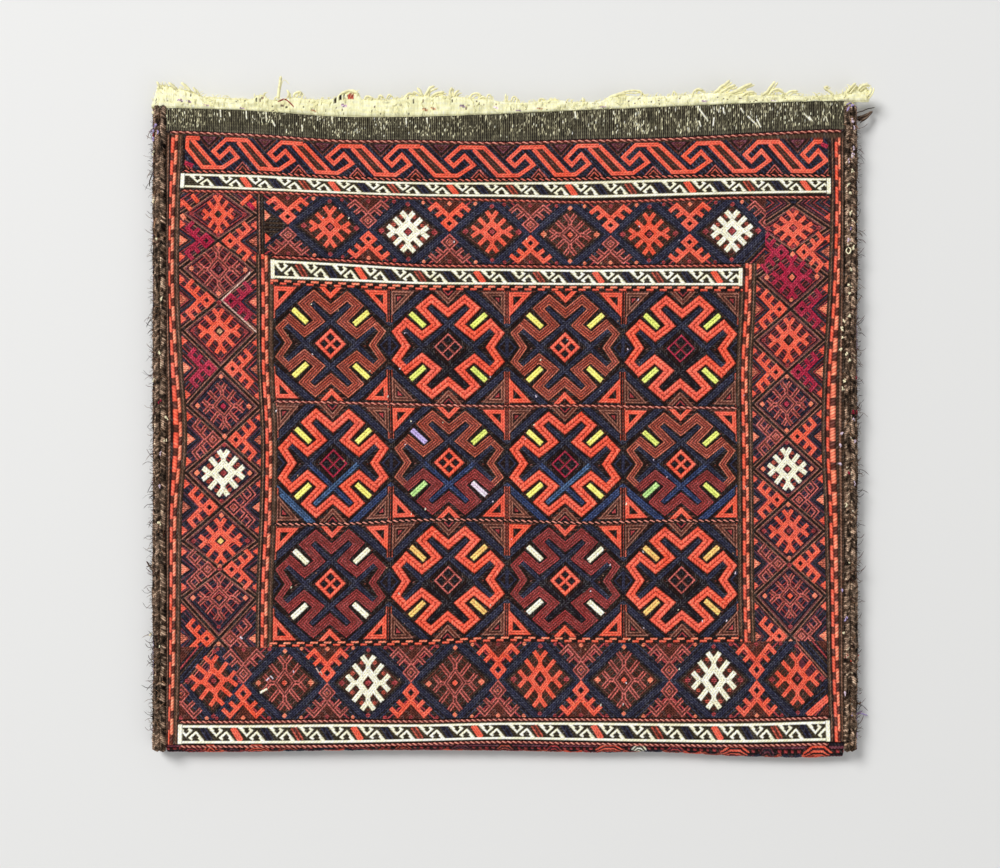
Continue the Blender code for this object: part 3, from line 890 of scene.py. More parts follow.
def guards(cloth):
    plain = "goatDark fawn soot olive soot soot olive goatDark fawn goatDark"
    borderFoot = lowOf("top_diamond_border", 1)
    for side in (-1, 1):
        for node, foot, head in (
            ("right_outer_guard", clothFoot - 0.3, lowOf("header_twining", 1)),
            ("right_inner_guard", lowOf("field_bottom_checks", 1) - 0.2, borderFoot),
        ):
            middle = side * (lowOf(node, 0) + highOf(node, 0)) / 2
            line = [(middle, foot), (middle, head)]
            clip = (middle - 4.6, foot), (middle + 4.6, head)
            stitchRun(cloth, line, plain, 0.8, clip=clip, lift=-0.1)
            stitchRun(cloth, line, checkRows["guard"], 1.62, clip=clip)
    half = lowOf("right_inner_guard", 0) - 0.7
    for node in ("field_top_checks", "field_bottom_checks"):
        foot = lowOf(node, 1)
        stitchPatch(cloth, rectangle((-half, foot - 0.2), (half, foot + 2.4)), "soot", lift=-0.1)
        stitchRun(cloth, [(-half, foot + 1.05), (half, foot + 1.05)], checkRows["field"], 1.05)
    # a dark line parts the left border from the top one
    place = -lowOf("right_inner_guard", 0) - 3.4
    line = [(place, borderFoot), (place, lowOf("upper_ivory_twining", 1))]
    stitchRun(cloth, line, "soot clay soot goatDark soot", 0.7)
    for level, dye in ((borderFoot + 8, "madder"), (borderFoot + 19, "coral")):
        wedge = [(place + 2, level - 2.6), (place + 2, level + 2.6), (place + 4.6, level)]
        stitchPatch(cloth, wedge, dye, width=1.0)


def edgeGoat(cloth):
    # the goat-hair wrapping reaches in over the cloth's edge
    for side in (-1, 1):
        edge = side * (clothHalf - 1.3)
        stitchRun(cloth, [(edge, clothFoot - 0.5), (edge, hemFoot)], checkRows["edge"], 0.9)


def plainLines(cloth):
    # bare ground under each twined line
    for node in twinedLines:
        foot, half = lowOf(node, 1), highOf(node, 0)
        line = [(-half - 1.5, foot + 0.75), (half + 1.5, foot + 0.75)]
        stitchRun(cloth, line, "soot goatDark", 0.95, lift=-0.3)


twinedLines = {
    # node: the two dyes and the length of a turn
    "lower_ivory_twining": ("twineLight", "twineDark", 2.5),
    "row_twining_lower": ("twineLight", "soot", 2.9),
    "row_twining_upper": ("twineLight", "twineDark", 3.0),
    "top_diamond_twining": ("salmon", "twineDark", 2.9),
    "upper_ivory_twining": ("salmon", "twineDark", 2.8),
    "s_border_twining": ("salmon", "soot", 2.9),
    "header_twining": ("twineLight", "twineDark", 3.3),
}
header = {
    "rib": 0.45, "step": 0.2, "stepUp": 0.5,
    "flecks": 2600, "fleckLength": (0.5, 1.7), "fleckWidth": 0.3,
    # pixel places of the longer pale threads: from, to
    "threads": [
        (220, 109, 220.5, 117), (229, 112, 230, 116), (246, 110, 246.5, 119), (266, 111, 266.5, 121),
        (272, 120, 275, 126), (302, 125, 302.5, 131), (332, 116, 332.5, 123), (406, 118, 406.5, 125),
        (427, 118, 427.5, 124), (575, 112, 575.5, 118), (699, 109, 708, 121), (714, 118, 713, 126),
        (748, 116, 758, 126), (757, 119, 761, 127), (723, 107, 724, 113), (741, 108, 743, 112),
        (804, 113, 811, 120), (809, 116, 813, 121), (699, 121, 701, 127), (826, 116, 828, 121),
    ],
}


def headerCloth():
    cloth = newCloth((-clothHalf, lines["header"]), (clothHalf, hemFoot), header["step"], header["stepUp"])
    whole = rectangle((-clothHalf - 1, lines["header"] - 1), (clothHalf + 1, hemFoot + 1))
    stitchPatch(cloth, whole, "ash soot", (0, 1), header["rib"], depth=0.9)
    u, v = np.meshgrid(cloth["u"], cloth["v"])
    cloth["tint"] *= (0.30 + 0.62 * softNoise(u * 3, v, 2.4, 66))[..., None]
    chance = np.random.default_rng(11)
    for _ in range(header["flecks"]):
        u = chance.uniform(-clothHalf, clothHalf)
        v = chance.uniform(lines["header"] + 1.2, hemFoot)
        long = chance.uniform(*header["fleckLength"])
        dense = softNoise(np.array([u]), np.array([v]), 7, 3)[0] + (0.12 if u > 85 else 0)
        if dense > chance.uniform(0.15, 0.75):
            dye = ["straw", "ash", "ash", "fleck"][chance.integers(4)]
            drift = chance.uniform(-0.12, 0.12)
            stitchRun(cloth, [(u, v), (u + drift, v + long)], dye, header["fleckWidth"], lift=0.05)
    placedLines(cloth, [("ivory", 0.62, 0.2, *thread) for thread in header["threads"]])
    ageYarn(cloth, 34)
    return cloth


# Pixel places along the hem's uneven upper edge
hemTop = [
    (151, 103), (153, 97), (156.5, 84), (166, 84), (177, 87.5), (191, 90), (198, 94), (206, 97),
    (215, 96.8), (237, 99), (252, 99), (256, 94.5), (264, 94.5), (269, 99), (285, 99.5), (295, 97),
    (314, 99), (333, 98.5), (341, 93.5), (352, 92), (358, 93), (362, 99), (390, 99.5), (408, 95.5),
    (440, 95.5), (462, 96.5), (470, 98.5), (490, 99), (500, 101.5), (523, 102.8), (545, 100.5),
    (557, 100), (577, 102), (600, 101.5), (610, 96.5), (625, 95.5), (642, 96.5), (675, 95.5), (700, 93),
    (720, 92), (745, 92), (758, 94.8), (780, 93.5), (808, 95.5), (830, 94), (842, 93), (849, 88),
    (855, 84.5), (868, 86), (871, 90),
]
hemEnds = (-bagHalf, float(acrossOf(870)))


def hemCloth():
    cloth = newCloth((hemEnds[0], hemFoot), (hemEnds[1], hemFoot + hemHeight), 0.35)
    whole = rectangle((hemEnds[0] - 1, hemFoot - 1), (hemEnds[1] + 1, hemFoot + hemHeight + 1))
    stitchPatch(cloth, whole, "cotton", (0, 1), 0.7, depth=0.4)
    u, v = np.meshgrid(cloth["u"], cloth["v"])
    patchy = softNoise(u * 2.2, v, 2.2, 64) * (0.6 + 0.8 * softNoise(u, v, 6, 65))
    cloth["tint"] *= (0.86 + 0.34 * patchy)[..., None]
    for px, py, dye in hemMarks:
        u, v = hemSpot(px, py)
        stitchRun(cloth, [(u - 1.3, v + 0.2), (u + 1.3, v - 0.2)], dye, 0.8)
    chance = np.random.default_rng(17)
    for _ in range(90):
        u, v = chance.uniform(*hemEnds), hemFoot + chance.uniform(0.5, 6.4)
        line = [(u, v), (u, v + chance.uniform(0.4, 1.1))]
        stitchRun(cloth, line, ["ash", "goat"][chance.integers(2)], 0.55, lift=-0.3)
    for px, py, wide, tall, dye in hemHoles:
        u, v = hemSpot(px, py)
        hole = rectangle((u - wide / 2, v - tall / 2), (u + wide / 2, v + tall / 2))
        stitchPatch(cloth, hole, "soot ash" if dye == "soot" else dye, (0, 1), 0.7, lift=-0.4)
    return cloth


# Pixel places of the coloured stitches and of the gaps in the hem
hemMarks = [
    (178, 102, "mauve"), (187, 102.5, "mauve"), (205, 104, "mauve"), (243, 107.5, "mauve"),
    (315, 111, "tan"), (345, 110, "mauve"), (462, 108.5, "mauve"), (495, 107.5, "paleLilac"),
    (517, 110, "mauve"), (538, 108, "tan"), (600, 106, "mauve"), (674, 108.5, "lilac"),
    (700, 101, "mauve"), (770, 99, "paleLilac"), (425, 112, "tan"), (433, 111, "tan"),
]
hemHoles = [
    # place, width, height, dye
    (336.5, 104.5, 1.4, 2.2, "soot"), (341, 104.5, 1.4, 2.2, "soot"), (345, 104.5, 1.0, 2.0, "soot"),
    (351.5, 104, 3.0, 2.2, "walnut"), (431, 101, 1.2, 1.6, "soot"), (437, 102, 1.4, 1.2, "goat"),
    (444, 101, 1.0, 1.4, "soot"), (450, 103, 1.2, 1.0, "goat"), (258, 101, 1.0, 1.6, "soot"),
    (262, 102, 0.8, 1.4, "goat"), (284, 105, 1.2, 1.2, "goat"), (288, 107, 1.2, 0.9, "soot"),
    (735, 97, 1.2, 0.7, "goat"), (752, 98, 1.4, 0.7, "goat"),
]


def edgeAt(px):
    # pixel height of the hem's lower edge
    return float(np.interp(px, stationsAcross, linesAcross[-2][1]))


def hemSpot(px, py):
    # a pixel's place on the hem, measured from the hem's own lower edge
    return float(acrossOf(px)), hemFoot + float(upOf(py) - upOf(edgeAt(px)))


def whiteSpecks(cloth, count, seed):
    # tiny light knots where the cotton warp shows through
    chance = np.random.default_rng(seed)
    for _ in range(count):
        u, v = chance.uniform(-115, 115), chance.uniform(-140, 100)
        long = chance.uniform(0.4, 1.1)
        dye = ["ivory", "paleLilac", "tan"][chance.integers(3)]
        stitchRun(cloth, [(u, v), (u + chance.uniform(-0.5, 0.5), v + long)], dye, 0.45, lift=0.1)


guardEdge = (lowOf("right_outer_guard", 0) + highOf("right_diamond_border", 0)) / 2
borderEdge = lowOf("right_diamond_border", 0) - 0.2
fieldEdge = highOf("medallion_1_4", 0) + 0.4
lineNodes = {
    "bottomBorder": "bottom_diamond_border", "bottomChecks": "field_bottom_checks", "row3": "medallion_3_1",
    "row2": "medallion_2_1", "row1": "medallion_1_1", "topChecks": "field_top_checks",
    "innerIvory": "inner_ivory_band", "topBorder": "top_diamond_border", "upperIvory": "upper_ivory_band",
    "hooks": "s_hook_border", "header": "header_band",
}
# Heights at which the front is cut into its pieces
lines = {name: lowOf(node, 1) - 0.15 for name, node in lineNodes.items()}
lines["fold"] = clothFoot - 0.15

gridStep = 0.3
front = newCloth((-clothHalf, clothFoot - 0.15), (clothHalf, hemFoot + 0.35), gridStep)
wholeFront = rectangle((-clothHalf - 1, clothFoot - 1), (clothHalf + 1, hemFoot + 1))
stitchPatch(front, wholeFront, "soot goatDark", lift=-0.2)
edgeGoat(front)
for row, column in medallionDyes:
    medallion(front, row, column)


sideBorder(front, "left")
sideBorder(front, "right")
crossBorder(front, topBorder, "top_diamond_border", 29.3, "low")
crossBorder(front, bottomBorder, "bottom_diamond_border", 34.7, "tall")
placedLines(front, cornerLines, ((borderEdge, lowOf("bottom_diamond_border", 1)), (guardEdge - 0.4, 0)))
placedLines(front, oddBits)
guards(front)
hookBorder(front)
for node in ivoryBands:
    ivoryBand(front, node)


plainLines(front)
hem = hemCloth()
whiteSpecks(front, 80, 23)
print("pattern laid:", laid["runs"], "runs of stitches")


def ageYarn(cloth, seed):
    # uneven dye lots from weft to weft, and a little fuzz on every row
    u, v = np.meshgrid(cloth["u"], cloth["v"])
    lots = 0.88 + 0.24 * softNoise(u, v * 5, 46, seed) + 0.10 * (softNoise(u, v, 3.1, seed + 1) - 0.5)
    cloth["tint"] *= lots[..., None]
    fuzzy = 0.16 * (softNoise(u, v, 0.8, seed + 2) - 0.5) + 0.12 * (softNoise(u, v, 2.4, seed + 3) - 0.5)
    cloth["relief"] += fuzzy


ageYarn(front, 31)
ageYarn(hem, 36)


# ---- materials
def newGroup(name, inputs, outputs):
    tree = bpy.data.node_groups.new(name, "ShaderNodeTree")
    for label, value in inputs.items():
        kind = "NodeSocketColor" if isinstance(value, tuple) else "NodeSocketFloat"
        tree.interface.new_socket(name=label, in_out="INPUT", socket_type=kind).default_value = value
    for label, kind in outputs.items():
        tree.interface.new_socket(name=label, in_out="OUTPUT", socket_type=kind)
    return tree, tree.nodes.new("NodeGroupInput").outputs, tree.nodes.new("NodeGroupOutput")


def fill(tree, node, inputs):
    # each input takes a fixed value or another node's output
    for key, value in inputs.items():
        if isinstance(value, bpy.types.NodeSocket):
            tree.links.new(value, node.inputs[key])
        else:
            node.inputs[key].default_value = value


def addNode(tree, kind, inputs=None, **settings):
    node = tree.nodes.new(kind)
    for key, value in settings.items():
        setattr(node, key, value)
    fill(tree, node, inputs or {})
    return node.outputs


def mapRange(tree, value, low, high, start=0, end=1):
    limits = {"Value": value, "From Min": start, "From Max": end, "To Min": low, "To Max": high}
    return addNode(tree, "ShaderNodeMapRange", limits)["Result"]


def woolToneGroup():
    # mottles the point colour, dye with the stitches' painted shade, as spun wool does, and fades its tips
    inputs = {"Dye": (0.5, 0.5, 0.5, 1), "Mottle": 0.3, "Size": 900.0}
    outputs = {"Colour": "NodeSocketColor", "Dryness": "NodeSocketFloat"}
    tree, given, made = newGroup("woolTone", inputs, outputs)
    place = addNode(tree, "ShaderNodeTexCoord")["Object"]
    fibre = addNode(tree, "ShaderNodeTexNoise", {
        "Vector": place, "Scale": given["Size"], "Detail": 3,
    })["Fac"]
    patch = addNode(tree, "ShaderNodeTexNoise", {"Vector": place, "Scale": 60})["Fac"]
    spread = mapRange(tree, fibre, -1, 1, 0.25, 0.75)
    amount = addNode(tree, "ShaderNodeMath", {0: spread, 1: given["Mottle"]}, operation="MULTIPLY")[0]
    lift = addNode(tree, "ShaderNodeMath", {0: amount, 1: 1.0}, operation="ADD")[0]
    hue = {"Value": lift, "Color": given["Dye"], "Saturation": mapRange(tree, patch, 0.94, 1.06)}
    fill(tree, made, {"Colour": addNode(tree, "ShaderNodeHueSaturation", hue)["Color"], "Dryness": patch})
    return tree


def fibreGroup():
    # fine fibres standing off the yarn, as a height
    inputs = {"Size": 2200.0, "Stretch": 3.0}
    tree, given, made = newGroup("fibreHeight", inputs, {"Height": "NodeSocketFloat"})
    place = addNode(tree, "ShaderNodeTexCoord")["Object"]
    scale = addNode(tree, "ShaderNodeCombineXYZ", {"X": given["Stretch"], "Y": 1, "Z": 1})["Vector"]
    lean = (0, 0, math.radians(38))
    turned = addNode(tree, "ShaderNodeMapping", {
        "Vector": place, "Scale": scale, "Rotation": lean,
    })["Vector"]
    hairs = addNode(tree, "ShaderNodeTexNoise", {
        "Vector": turned, "Scale": given["Size"], "Detail": 2,
    })
    fill(tree, made, {"Height": hairs["Fac"]})
    return tree


woolTone, fibreHeight = woolToneGroup(), fibreGroup()

finishes = {
    # mottle, fibre size, bump depth, lowest and highest roughness, sheen
    "madderSoumak": (0.16, 1900, 0.00016, 0.72, 0.9, 0.04),
    "walnutSoumak": (0.18, 1900, 0.00016, 0.76, 0.92, 0.03),
    "indigoSoumak": (0.20, 1900, 0.00016, 0.74, 0.92, 0.03),
    "ivorySoumak": (0.10, 1700, 0.00014, 0.74, 0.9, 0.03),
    "guardSoumak": (0.18, 1900, 0.00016, 0.76, 0.92, 0.03),
    "twinedYarn": (0.16, 2400, 0.00010, 0.72, 0.88, 0.03),
    "goatHair": (0.30, 2600, 0.00014, 0.62, 0.85, 0.02),
    "groundWool": (0.24, 2000, 0.00014, 0.8, 0.94, 0.03),
    "cottonHem": (0.08, 1500, 0.00012, 0.82, 0.95, 0.02),
    "seamYarn": (0.14, 2400, 0.00008, 0.75, 0.9, 0.03),
}


def newMaterial(name):
    material = bpy.data.materials.new(name)
    material.use_nodes = True
    return material, material.node_tree, material.node_tree.nodes["Principled BSDF"]


def yarnMaterial(name, mottle, fibre, depth, smooth, rough, sheen):
    material, tree, shader = newMaterial(name)
    # the point colour: dye together with the painted shade and highlights of the stitches
    dye = addNode(tree, "ShaderNodeAttribute", attribute_name="yarnTint")["Color"]
    tone = addNode(tree, "ShaderNodeGroup", node_tree=woolTone)
    hair = addNode(tree, "ShaderNodeGroup", node_tree=fibreHeight)
    fill(tree, tone["Colour"].node, {"Dye": dye, "Mottle": mottle, "Size": fibre * 0.4})
    fill(tree, hair["Height"].node, {"Size": fibre})
    bump = addNode(tree, "ShaderNodeBump", {"Height": hair["Height"], "Distance": depth, "Strength": 0.8})
    fill(tree, shader, {
        "Base Color": tone["Colour"], "Roughness": mapRange(tree, tone["Dryness"], smooth, rough),
        "Normal": bump["Normal"],
        "Sheen Weight": sheen, "Sheen Roughness": 0.5, "Specular IOR Level": 0.06,
    })
    return material


materials = {name: yarnMaterial(name, *facts) for name, facts in finishes.items()}
print("materials made:", len(materials))


# ---- meshes
def gridFaces(tall, wide, start=0, wrap=False):
    # faces of a grid of points, and where their corners lie on a unit square
    columns = wide if wrap else wide - 1
    i, j = np.meshgrid(np.arange(tall - 1), np.arange(columns), indexing="ij")
    i, j = i.ravel(), j.ravel()
    nextJ = (j + 1) % wide
    faces = np.stack([i * wide + j, i * wide + nextJ, (i + 1) * wide + nextJ, (i + 1) * wide + j], 1)
    across, up = np.stack([j, j + 1, j + 1, j], 1) / columns, np.stack([i, i, i + 1, i + 1], 1) / (tall - 1)
    return faces + start, np.stack([across, up], 2)


def slotName(material):
    return "".join("_" + letter.lower() if letter.isupper() else letter for letter in material)


def makeMesh(name, points, faces, square, tint, material, nodes, body="back"):
    data = bpy.data.meshes.new(name)
    data.from_pydata((points * mm).tolist(), [], faces.tolist())
    # each point's colour: its dye, with the painted shade and highlights laid into the stitches
    colours = np.concatenate([np.clip(tint, 0, 1), np.ones((len(tint), 1))], 1)
    dye = data.attributes.new("yarnTint", "FLOAT_COLOR", "POINT")
    dye.data.foreach_set("color", colours.astype(np.float32).ravel())
    layer = data.uv_layers.new(name="OFBake")
    layer.data.foreach_set("uv", square.astype(np.float32).ravel())
    data.polygons.foreach_set("use_smooth", np.ones(len(faces), bool))
    data.materials.append(materials[material])
    piece = bpy.data.objects.new(name, data)
    bpy.context.scene.collection.objects.link(piece)
    slotName(material)
    if nodes:
        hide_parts(*nodes)
    if body == "mouth":
        bendAtSeam(piece)
    else:
        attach(piece, body)
    return piece


def bendAtSeam(piece):
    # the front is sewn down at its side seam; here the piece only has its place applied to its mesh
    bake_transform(piece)


def placeFront(u, v, relief):
    x, y = layFlat(u, v)
    return np.stack([x, y, surface["brocade"] + crownAt(x, y) + relief], -1)


def cutPiece(cloth, name, low, high, material, nodes, rim=0.5, place=placeFront, body="mouth"):
    # one piece of the brocade: its part of the grid, with an edge turned down to the cloth
    i = np.clip(np.searchsorted(cloth["v"], [low[1] - 1e-6, high[1] - 1e-6]), 0, len(cloth["v"]) - 1)
    j = np.clip(np.searchsorted(cloth["u"], [low[0] - 1e-6, high[0] - 1e-6]), 0, len(cloth["u"]) - 1)
    part = (slice(i[0], i[1] + 1), slice(j[0], j[1] + 1))
    u, v = np.meshgrid(cloth["u"][part[1]], cloth["v"][part[0]])
    relief = np.pad(cloth["relief"][part], 1, mode="edge")
    relief[[0, -1], :] = relief[:, [0, -1]] = -rim
    u, v = np.pad(u, 1, mode="edge"), np.pad(v, 1, mode="edge")
    tint = np.pad(cloth["tint"][part], ((1, 1), (1, 1), (0, 0)), mode="edge")
    points = place(u, v, relief)
    faces, square = gridFaces(*u.shape)
    return makeMesh(name, points.reshape(-1, 3), faces, square, tint.reshape(-1, 3), material, nodes, body)


# Strips of the front across the bag: foot and head, how far they reach, their yarn
frontStrips = {
    "lower_ivory_band": ("fold", "bottomBorder", guardEdge, "ivorySoumak"),
    "upper_ivory_band": ("upperIvory", "hooks", guardEdge, "ivorySoumak"),
    "s_hook_border": ("hooks", "header", guardEdge, "madderSoumak"),
    "bottom_diamond_border": ("bottomBorder", "bottomChecks", borderEdge, "indigoSoumak"),
    "top_diamond_border": ("topBorder", "upperIvory", borderEdge, "indigoSoumak"),
    "inner_ivory_band": ("innerIvory", "topBorder", fieldEdge, "ivorySoumak"),
    "field_top_checks": ("topChecks", "innerIvory", fieldEdge, "guardSoumak"),
    "field_bottom_checks": ("bottomChecks", "row3", fieldEdge, "guardSoumak"),
}
# Strips up its sides: nearer and farther edge, foot and head, their yarn
sideStrips = {
    "diamond_border": (borderEdge, guardEdge, "bottomBorder", "upperIvory", "indigoSoumak"),
    "inner_guard": (fieldEdge, borderEdge, "bottomChecks", "topBorder", "guardSoumak"),
    "outer_guard": (guardEdge, clothHalf, "fold", "header", "guardSoumak"),
}
medallionLines = {3: ("row3", "row2"), 2: ("row2", "row1"), 1: ("row1", "topChecks")}


def frontPieces():
    made = []

    def cut(name, left, right, foot, head, material, node):
        made.append(cutPiece(front, name, (left, lines[foot]), (right, lines[head]), material, [node]))

    for node, (foot, head, edge, material) in frontStrips.items():
        cut(f"{node}_left", -edge, 0.0, foot, head, material, node)
        cut(f"{node}_right", 0.0, edge, foot, head, material, node)
    for row, (foot, head) in medallionLines.items():
        for column in range(1, 5):
            node = f"medallion_{row}_{column}"
            left = {1: -fieldEdge, 3: 0.0}.get(column, lowOf(node, 0) - 0.15)
            right = {4: fieldEdge, 2: 0.0}.get(column, highOf(node, 0) + 0.15)
            material = "madderSoumak" if medallionDyes[row, column][0] == "madder" else "walnutSoumak"
            cut(f"{node}_soumak", left, right, foot, head, material, node)
    for side, sign in (("left", -1), ("right", 1)):
        for strip, (near, far, foot, head, material) in sideStrips.items():
            ends = sorted((sign * near, sign * far))
            cut(f"{side}_{strip}_soumak", ends[0], ends[1], foot, head, material, f"{side}_{strip}")
    return made


brocadePieces = frontPieces()
print("front pieces cut:", len(brocadePieces))


# ---- sheets with two faces
def sheetBetween(name, u, v, top, under, tint, material, nodes, body, place):
    # a closed sheet of cloth: an upper and a lower face joined round the edge
    tall, wide = u.shape
    upper, lower = place(u, v, top), place(u, v, under)
    points = np.concatenate([upper.reshape(-1, 3), lower.reshape(-1, 3)])
    faces, square = gridFaces(tall, wide)
    below = faces[:, ::-1] + tall * wide
    index = np.arange(tall * wide).reshape(tall, wide)
    ring = np.concatenate([index[0, :], index[1:, -1], index[-1, -2::-1], index[-2:0:-1, 0]])
    after = np.roll(ring, -1)
    sides = np.stack([ring, ring + tall * wide, after + tall * wide, after], 1)[:, ::-1]
    half = np.array([0.48, 1.0])
    squareBelow = square[:, ::-1] * half + np.array([0.5, 0])
    share = np.arange(len(ring)) / len(ring)
    step = 1 / len(ring)
    edge = np.stack([share + step, share + step, share, share], 1)
    squareSides = np.stack([0.985 + 0.01 * np.tile([0, 1, 1, 0], (len(ring), 1)), edge], 2)
    allFaces = np.concatenate([faces, below, sides])
    allSquares = np.concatenate([square * half, squareBelow, squareSides])
    tints = np.concatenate([tint[0].reshape(-1, 3), tint[1].reshape(-1, 3)])
    return makeMesh(name, points, allFaces, allSquares, tints, material, nodes, body)


def plainTint(u, v, base, second, seed):
    # dark wool with lighter threads here and there
    mix = softNoise(u * 4, v, 6, seed)[..., None] * softNoise(u, v * 6, 14, seed + 1)[..., None]
    grain = (0.8 + 0.5 * softNoise(u, v, 1.7, seed + 2))[..., None]
    return (dyeOf[base] * (1 - mix) + dyeOf[second] * mix) * grain


groundCloth = {"step": 1.2, "top": -0.45, "weave": 0.12}


def frontGround():
    made = []
    under = surface["inside"] - surface["brocade"]
    for side, ends in (("left", (-clothHalf, 0.0)), ("right", (0.0, clothHalf))):
        u, v = np.meshgrid(
            np.linspace(ends[0], ends[1], round(clothHalf / groundCloth["step"])),
            np.linspace(clothFoot - 0.1, lines["header"], round(284 / groundCloth["step"])),
        )
        ribs = groundCloth["weave"] * (softNoise(u, v * 3, 2.2, 41) - 0.5)
        tints = (plainTint(u, v, "goatDark", "goat", 43), reverseTint(u, v))
        made.append(sheetBetween(
            f"front_ground_{side}", u, v, groundCloth["top"] + ribs, under + ribs, tints,
            "groundWool", ["front_ground"], "mouth", placeFront,
        ))
    return made


def reverseTint(u, v):
    # the brocade's wrong side: the dyes of the face with their painted shade, muddled by the yarns that
    # pass behind
    i = np.clip(np.searchsorted(front["v"], v.ravel()), 0, len(front["v"]) - 1)
    j = np.clip(np.searchsorted(front["u"], u.ravel()), 0, len(front["u"]) - 1)
    seen = front["tint"][i, j].reshape(*u.shape, 3)
    mix = (0.25 + 0.5 * softNoise(u * 3, v, 2.6, 47))[..., None]
    return seen * mix + plainTint(u, v, "goatDark", "goat", 49) * (1 - mix)


def halves(cloth, ends):
    # a grid's left and right half: places, dyes with painted shade, and relief
    for side, low, high in (("left", ends[0], 0.0), ("right", 0.0, ends[1])):
        j = np.searchsorted(cloth["u"], [low - 1e-6, high - 1e-6])
        part = slice(j[0], min(j[1] + 1, len(cloth["u"])))
        u, v = np.meshgrid(cloth["u"][part], cloth["v"])
        yield side, u, v, cloth["tint"][:, part], cloth["relief"][:, part]


def headerPieces():
    # the bare band: a closed sheet, ribbed on both sides
    made = []
    for side, u, v, tint, relief in halves(headerCloth(), (-clothHalf, clothHalf)):
        under = surface["inside"] - surface["brocade"] + 0.3 - relief * 0.5
        # the inner face takes the same dyes darkened by a fifth, as painted shade
        made.append(sheetBetween(
            f"header_cloth_{side}", u, v, relief * 0.8, under, (tint, tint * 0.8), "goatHair",
            ["header_band"], "mouth", placeFront,
        ))
    return made


groundPieces, headerMade = frontGround(), headerPieces()


def hemPlace(u, share, relief):
    # from the header's edge up to the hem's uneven top
    x, foot = layFlat(u, np.full_like(u, hemFoot))
    pixels, tops = np.array(hemTop, float).T
    head = np.interp(x, acrossOf(pixels), upOf(tops)) + 0.5 * (softNoise(x, x * 0, 1.3, 63) - 0.5)
    y = foot * (1 - share) + head * share
    return np.stack([x, y, surface["brocade"] + crownAt(x, y) + relief], -1)


def rollOf(share):
    # thickness of a rolled edge across it, between 0 and 1
    return np.sqrt(np.clip(1 - (2 * share - 1) ** 4, 0, 1))


def hemSheet():
    # the cotton hem: a soft roll over the mouth's edge
    made = []
    for side, u, v, tint, relief in halves(hem, hemEnds):
        share = (v - v.min()) / (v.max() - v.min())
        roll = rollOf(share)
        uneven = 0.9 * (softNoise(u, v, 2.4, 61) - 0.5) + 0.8 * (softNoise(u, v, 7, 62) - 0.5)
        top = 0.3 + (roll - 1) * 1.3 + 0.35 * relief + uneven * roll
        under = np.full_like(top, surface["inside"] - surface["brocade"]) + (1 - roll) * 0.9
        # the inner face takes the same dyes darkened by a tenth, as painted shade
        made.append(sheetBetween(
            f"front_hem_{side}", u, share, top, under, (tint, tint * 0.9), "cottonHem", ["front_hem"],
            "mouth", hemPlace,
        ))
    return made


hemPieces = hemSheet()
print("ground and hem made")


# ---- yarns and hairs, swept along a line
def sidesOf(line):
    # two directions square to a line at each of its points
    ahead = np.gradient(line, axis=0)
    ahead /= np.linalg.norm(ahead, axis=1)[:, None]
    up = np.where(np.abs(ahead[:, 2:3]) > 0.9, [[1.0, 0.0, 0.0]], [[0.0, 0.0, 1.0]])
    side = np.cross(ahead, up)
    side /= np.linalg.norm(side, axis=1)[:, None]
    return side, np.cross(side, ahead)


def sweep(name, strands, sides, material, nodes, body):
    # strands: a list of (points, radius at each point, colour at each point), the last two also round it;
    # the cords' colour carries painted shade
    parts, start = [], 0
    angle = np.arange(sides) * 2 * math.pi / sides
    for k, (line, radius, tint) in enumerate(strands):
        line = np.asarray(line, float)
        side, over = sidesOf(line)
        radius = np.broadcast_to(radius, len(line))[:, None] if np.ndim(radius) < 2 else radius
        radius = radius * np.ones(sides)
        ring = np.cos(angle)[None, :, None] * side[:, None] + np.sin(angle)[None, :, None] * over[:, None]
        points = line[:, None] + ring * radius[..., None]
        if np.ndim(tint) < 3:
            tint = np.repeat(np.broadcast_to(np.asarray(tint, float), (len(line), 3)), sides, axis=0)
        faces, square = gridFaces(len(line), sides, start, wrap=True)
        if len(strands) > 1:
            square = np.stack([square[..., 1], (square[..., 0] * 0.94 + k) / len(strands)], -1)
        parts.append((points.reshape(-1, 3), faces, square, tint.reshape(-1, 3)))
        start += len(line) * sides
    return makeMesh(name, *(np.concatenate(part) for part in zip(*parts)), material, nodes, body)


def taper(count, radius, ends=2):
    # a radius that closes at both ends
    along = np.arange(count)
    return radius * np.clip((np.minimum(along, count - 1 - along) + 0.15) / ends, 0.05, 1)


def resample(line, step):
    line = np.asarray(line, float)
    gone = np.concatenate([[0], np.cumsum(np.linalg.norm(np.diff(line, axis=0), axis=1))])
    at = np.linspace(0, gone[-1], max(3, int(gone[-1] / step)))
    return np.stack([np.interp(at, gone, line[:, k]) for k in range(3)], 1)


twining = {"strand": 0.34, "twist": 0.3, "step": 0.36}


def twistedStrands(line, pitch, twist, radius, dyePair, seed):
    # two yarns twined round each other along a line
    line = resample(line, twining["step"])
    gone = np.arange(len(line)) * twining["step"]
    side, over = sidesOf(line)
    strands = []
    for k, dye in enumerate(dyePair):
        turn = -2 * math.pi * gone / pitch + math.pi * k
        swing = twist * (np.cos(turn)[:, None] * side + np.sin(turn)[:, None] * over)
        uneven = 0.85 + 0.3 * softNoise(gone + 50 * k, gone * 0, 2.2, seed + k)
        tint = dyeOf[dye] * (0.8 + 0.4 * softNoise(gone, gone * 0 + k, 1.3, seed + 9))[:, None]
        strands.append((line + swing, taper(len(line), radius) * uneven, tint))
    return strands


def twinedPiece(name, node, u, middle, rise, pitch, dyePair, seed, body):
    x, y = layFlat(u, np.full_like(u, middle))
    path = np.stack([x, y, surface["brocade"] + rise(x, y)], 1)
    strands = twistedStrands(path, pitch, twining["twist"], twining["strand"], dyePair, seed)
    return sweep(name, strands, 6, "twinedYarn", [node], body)


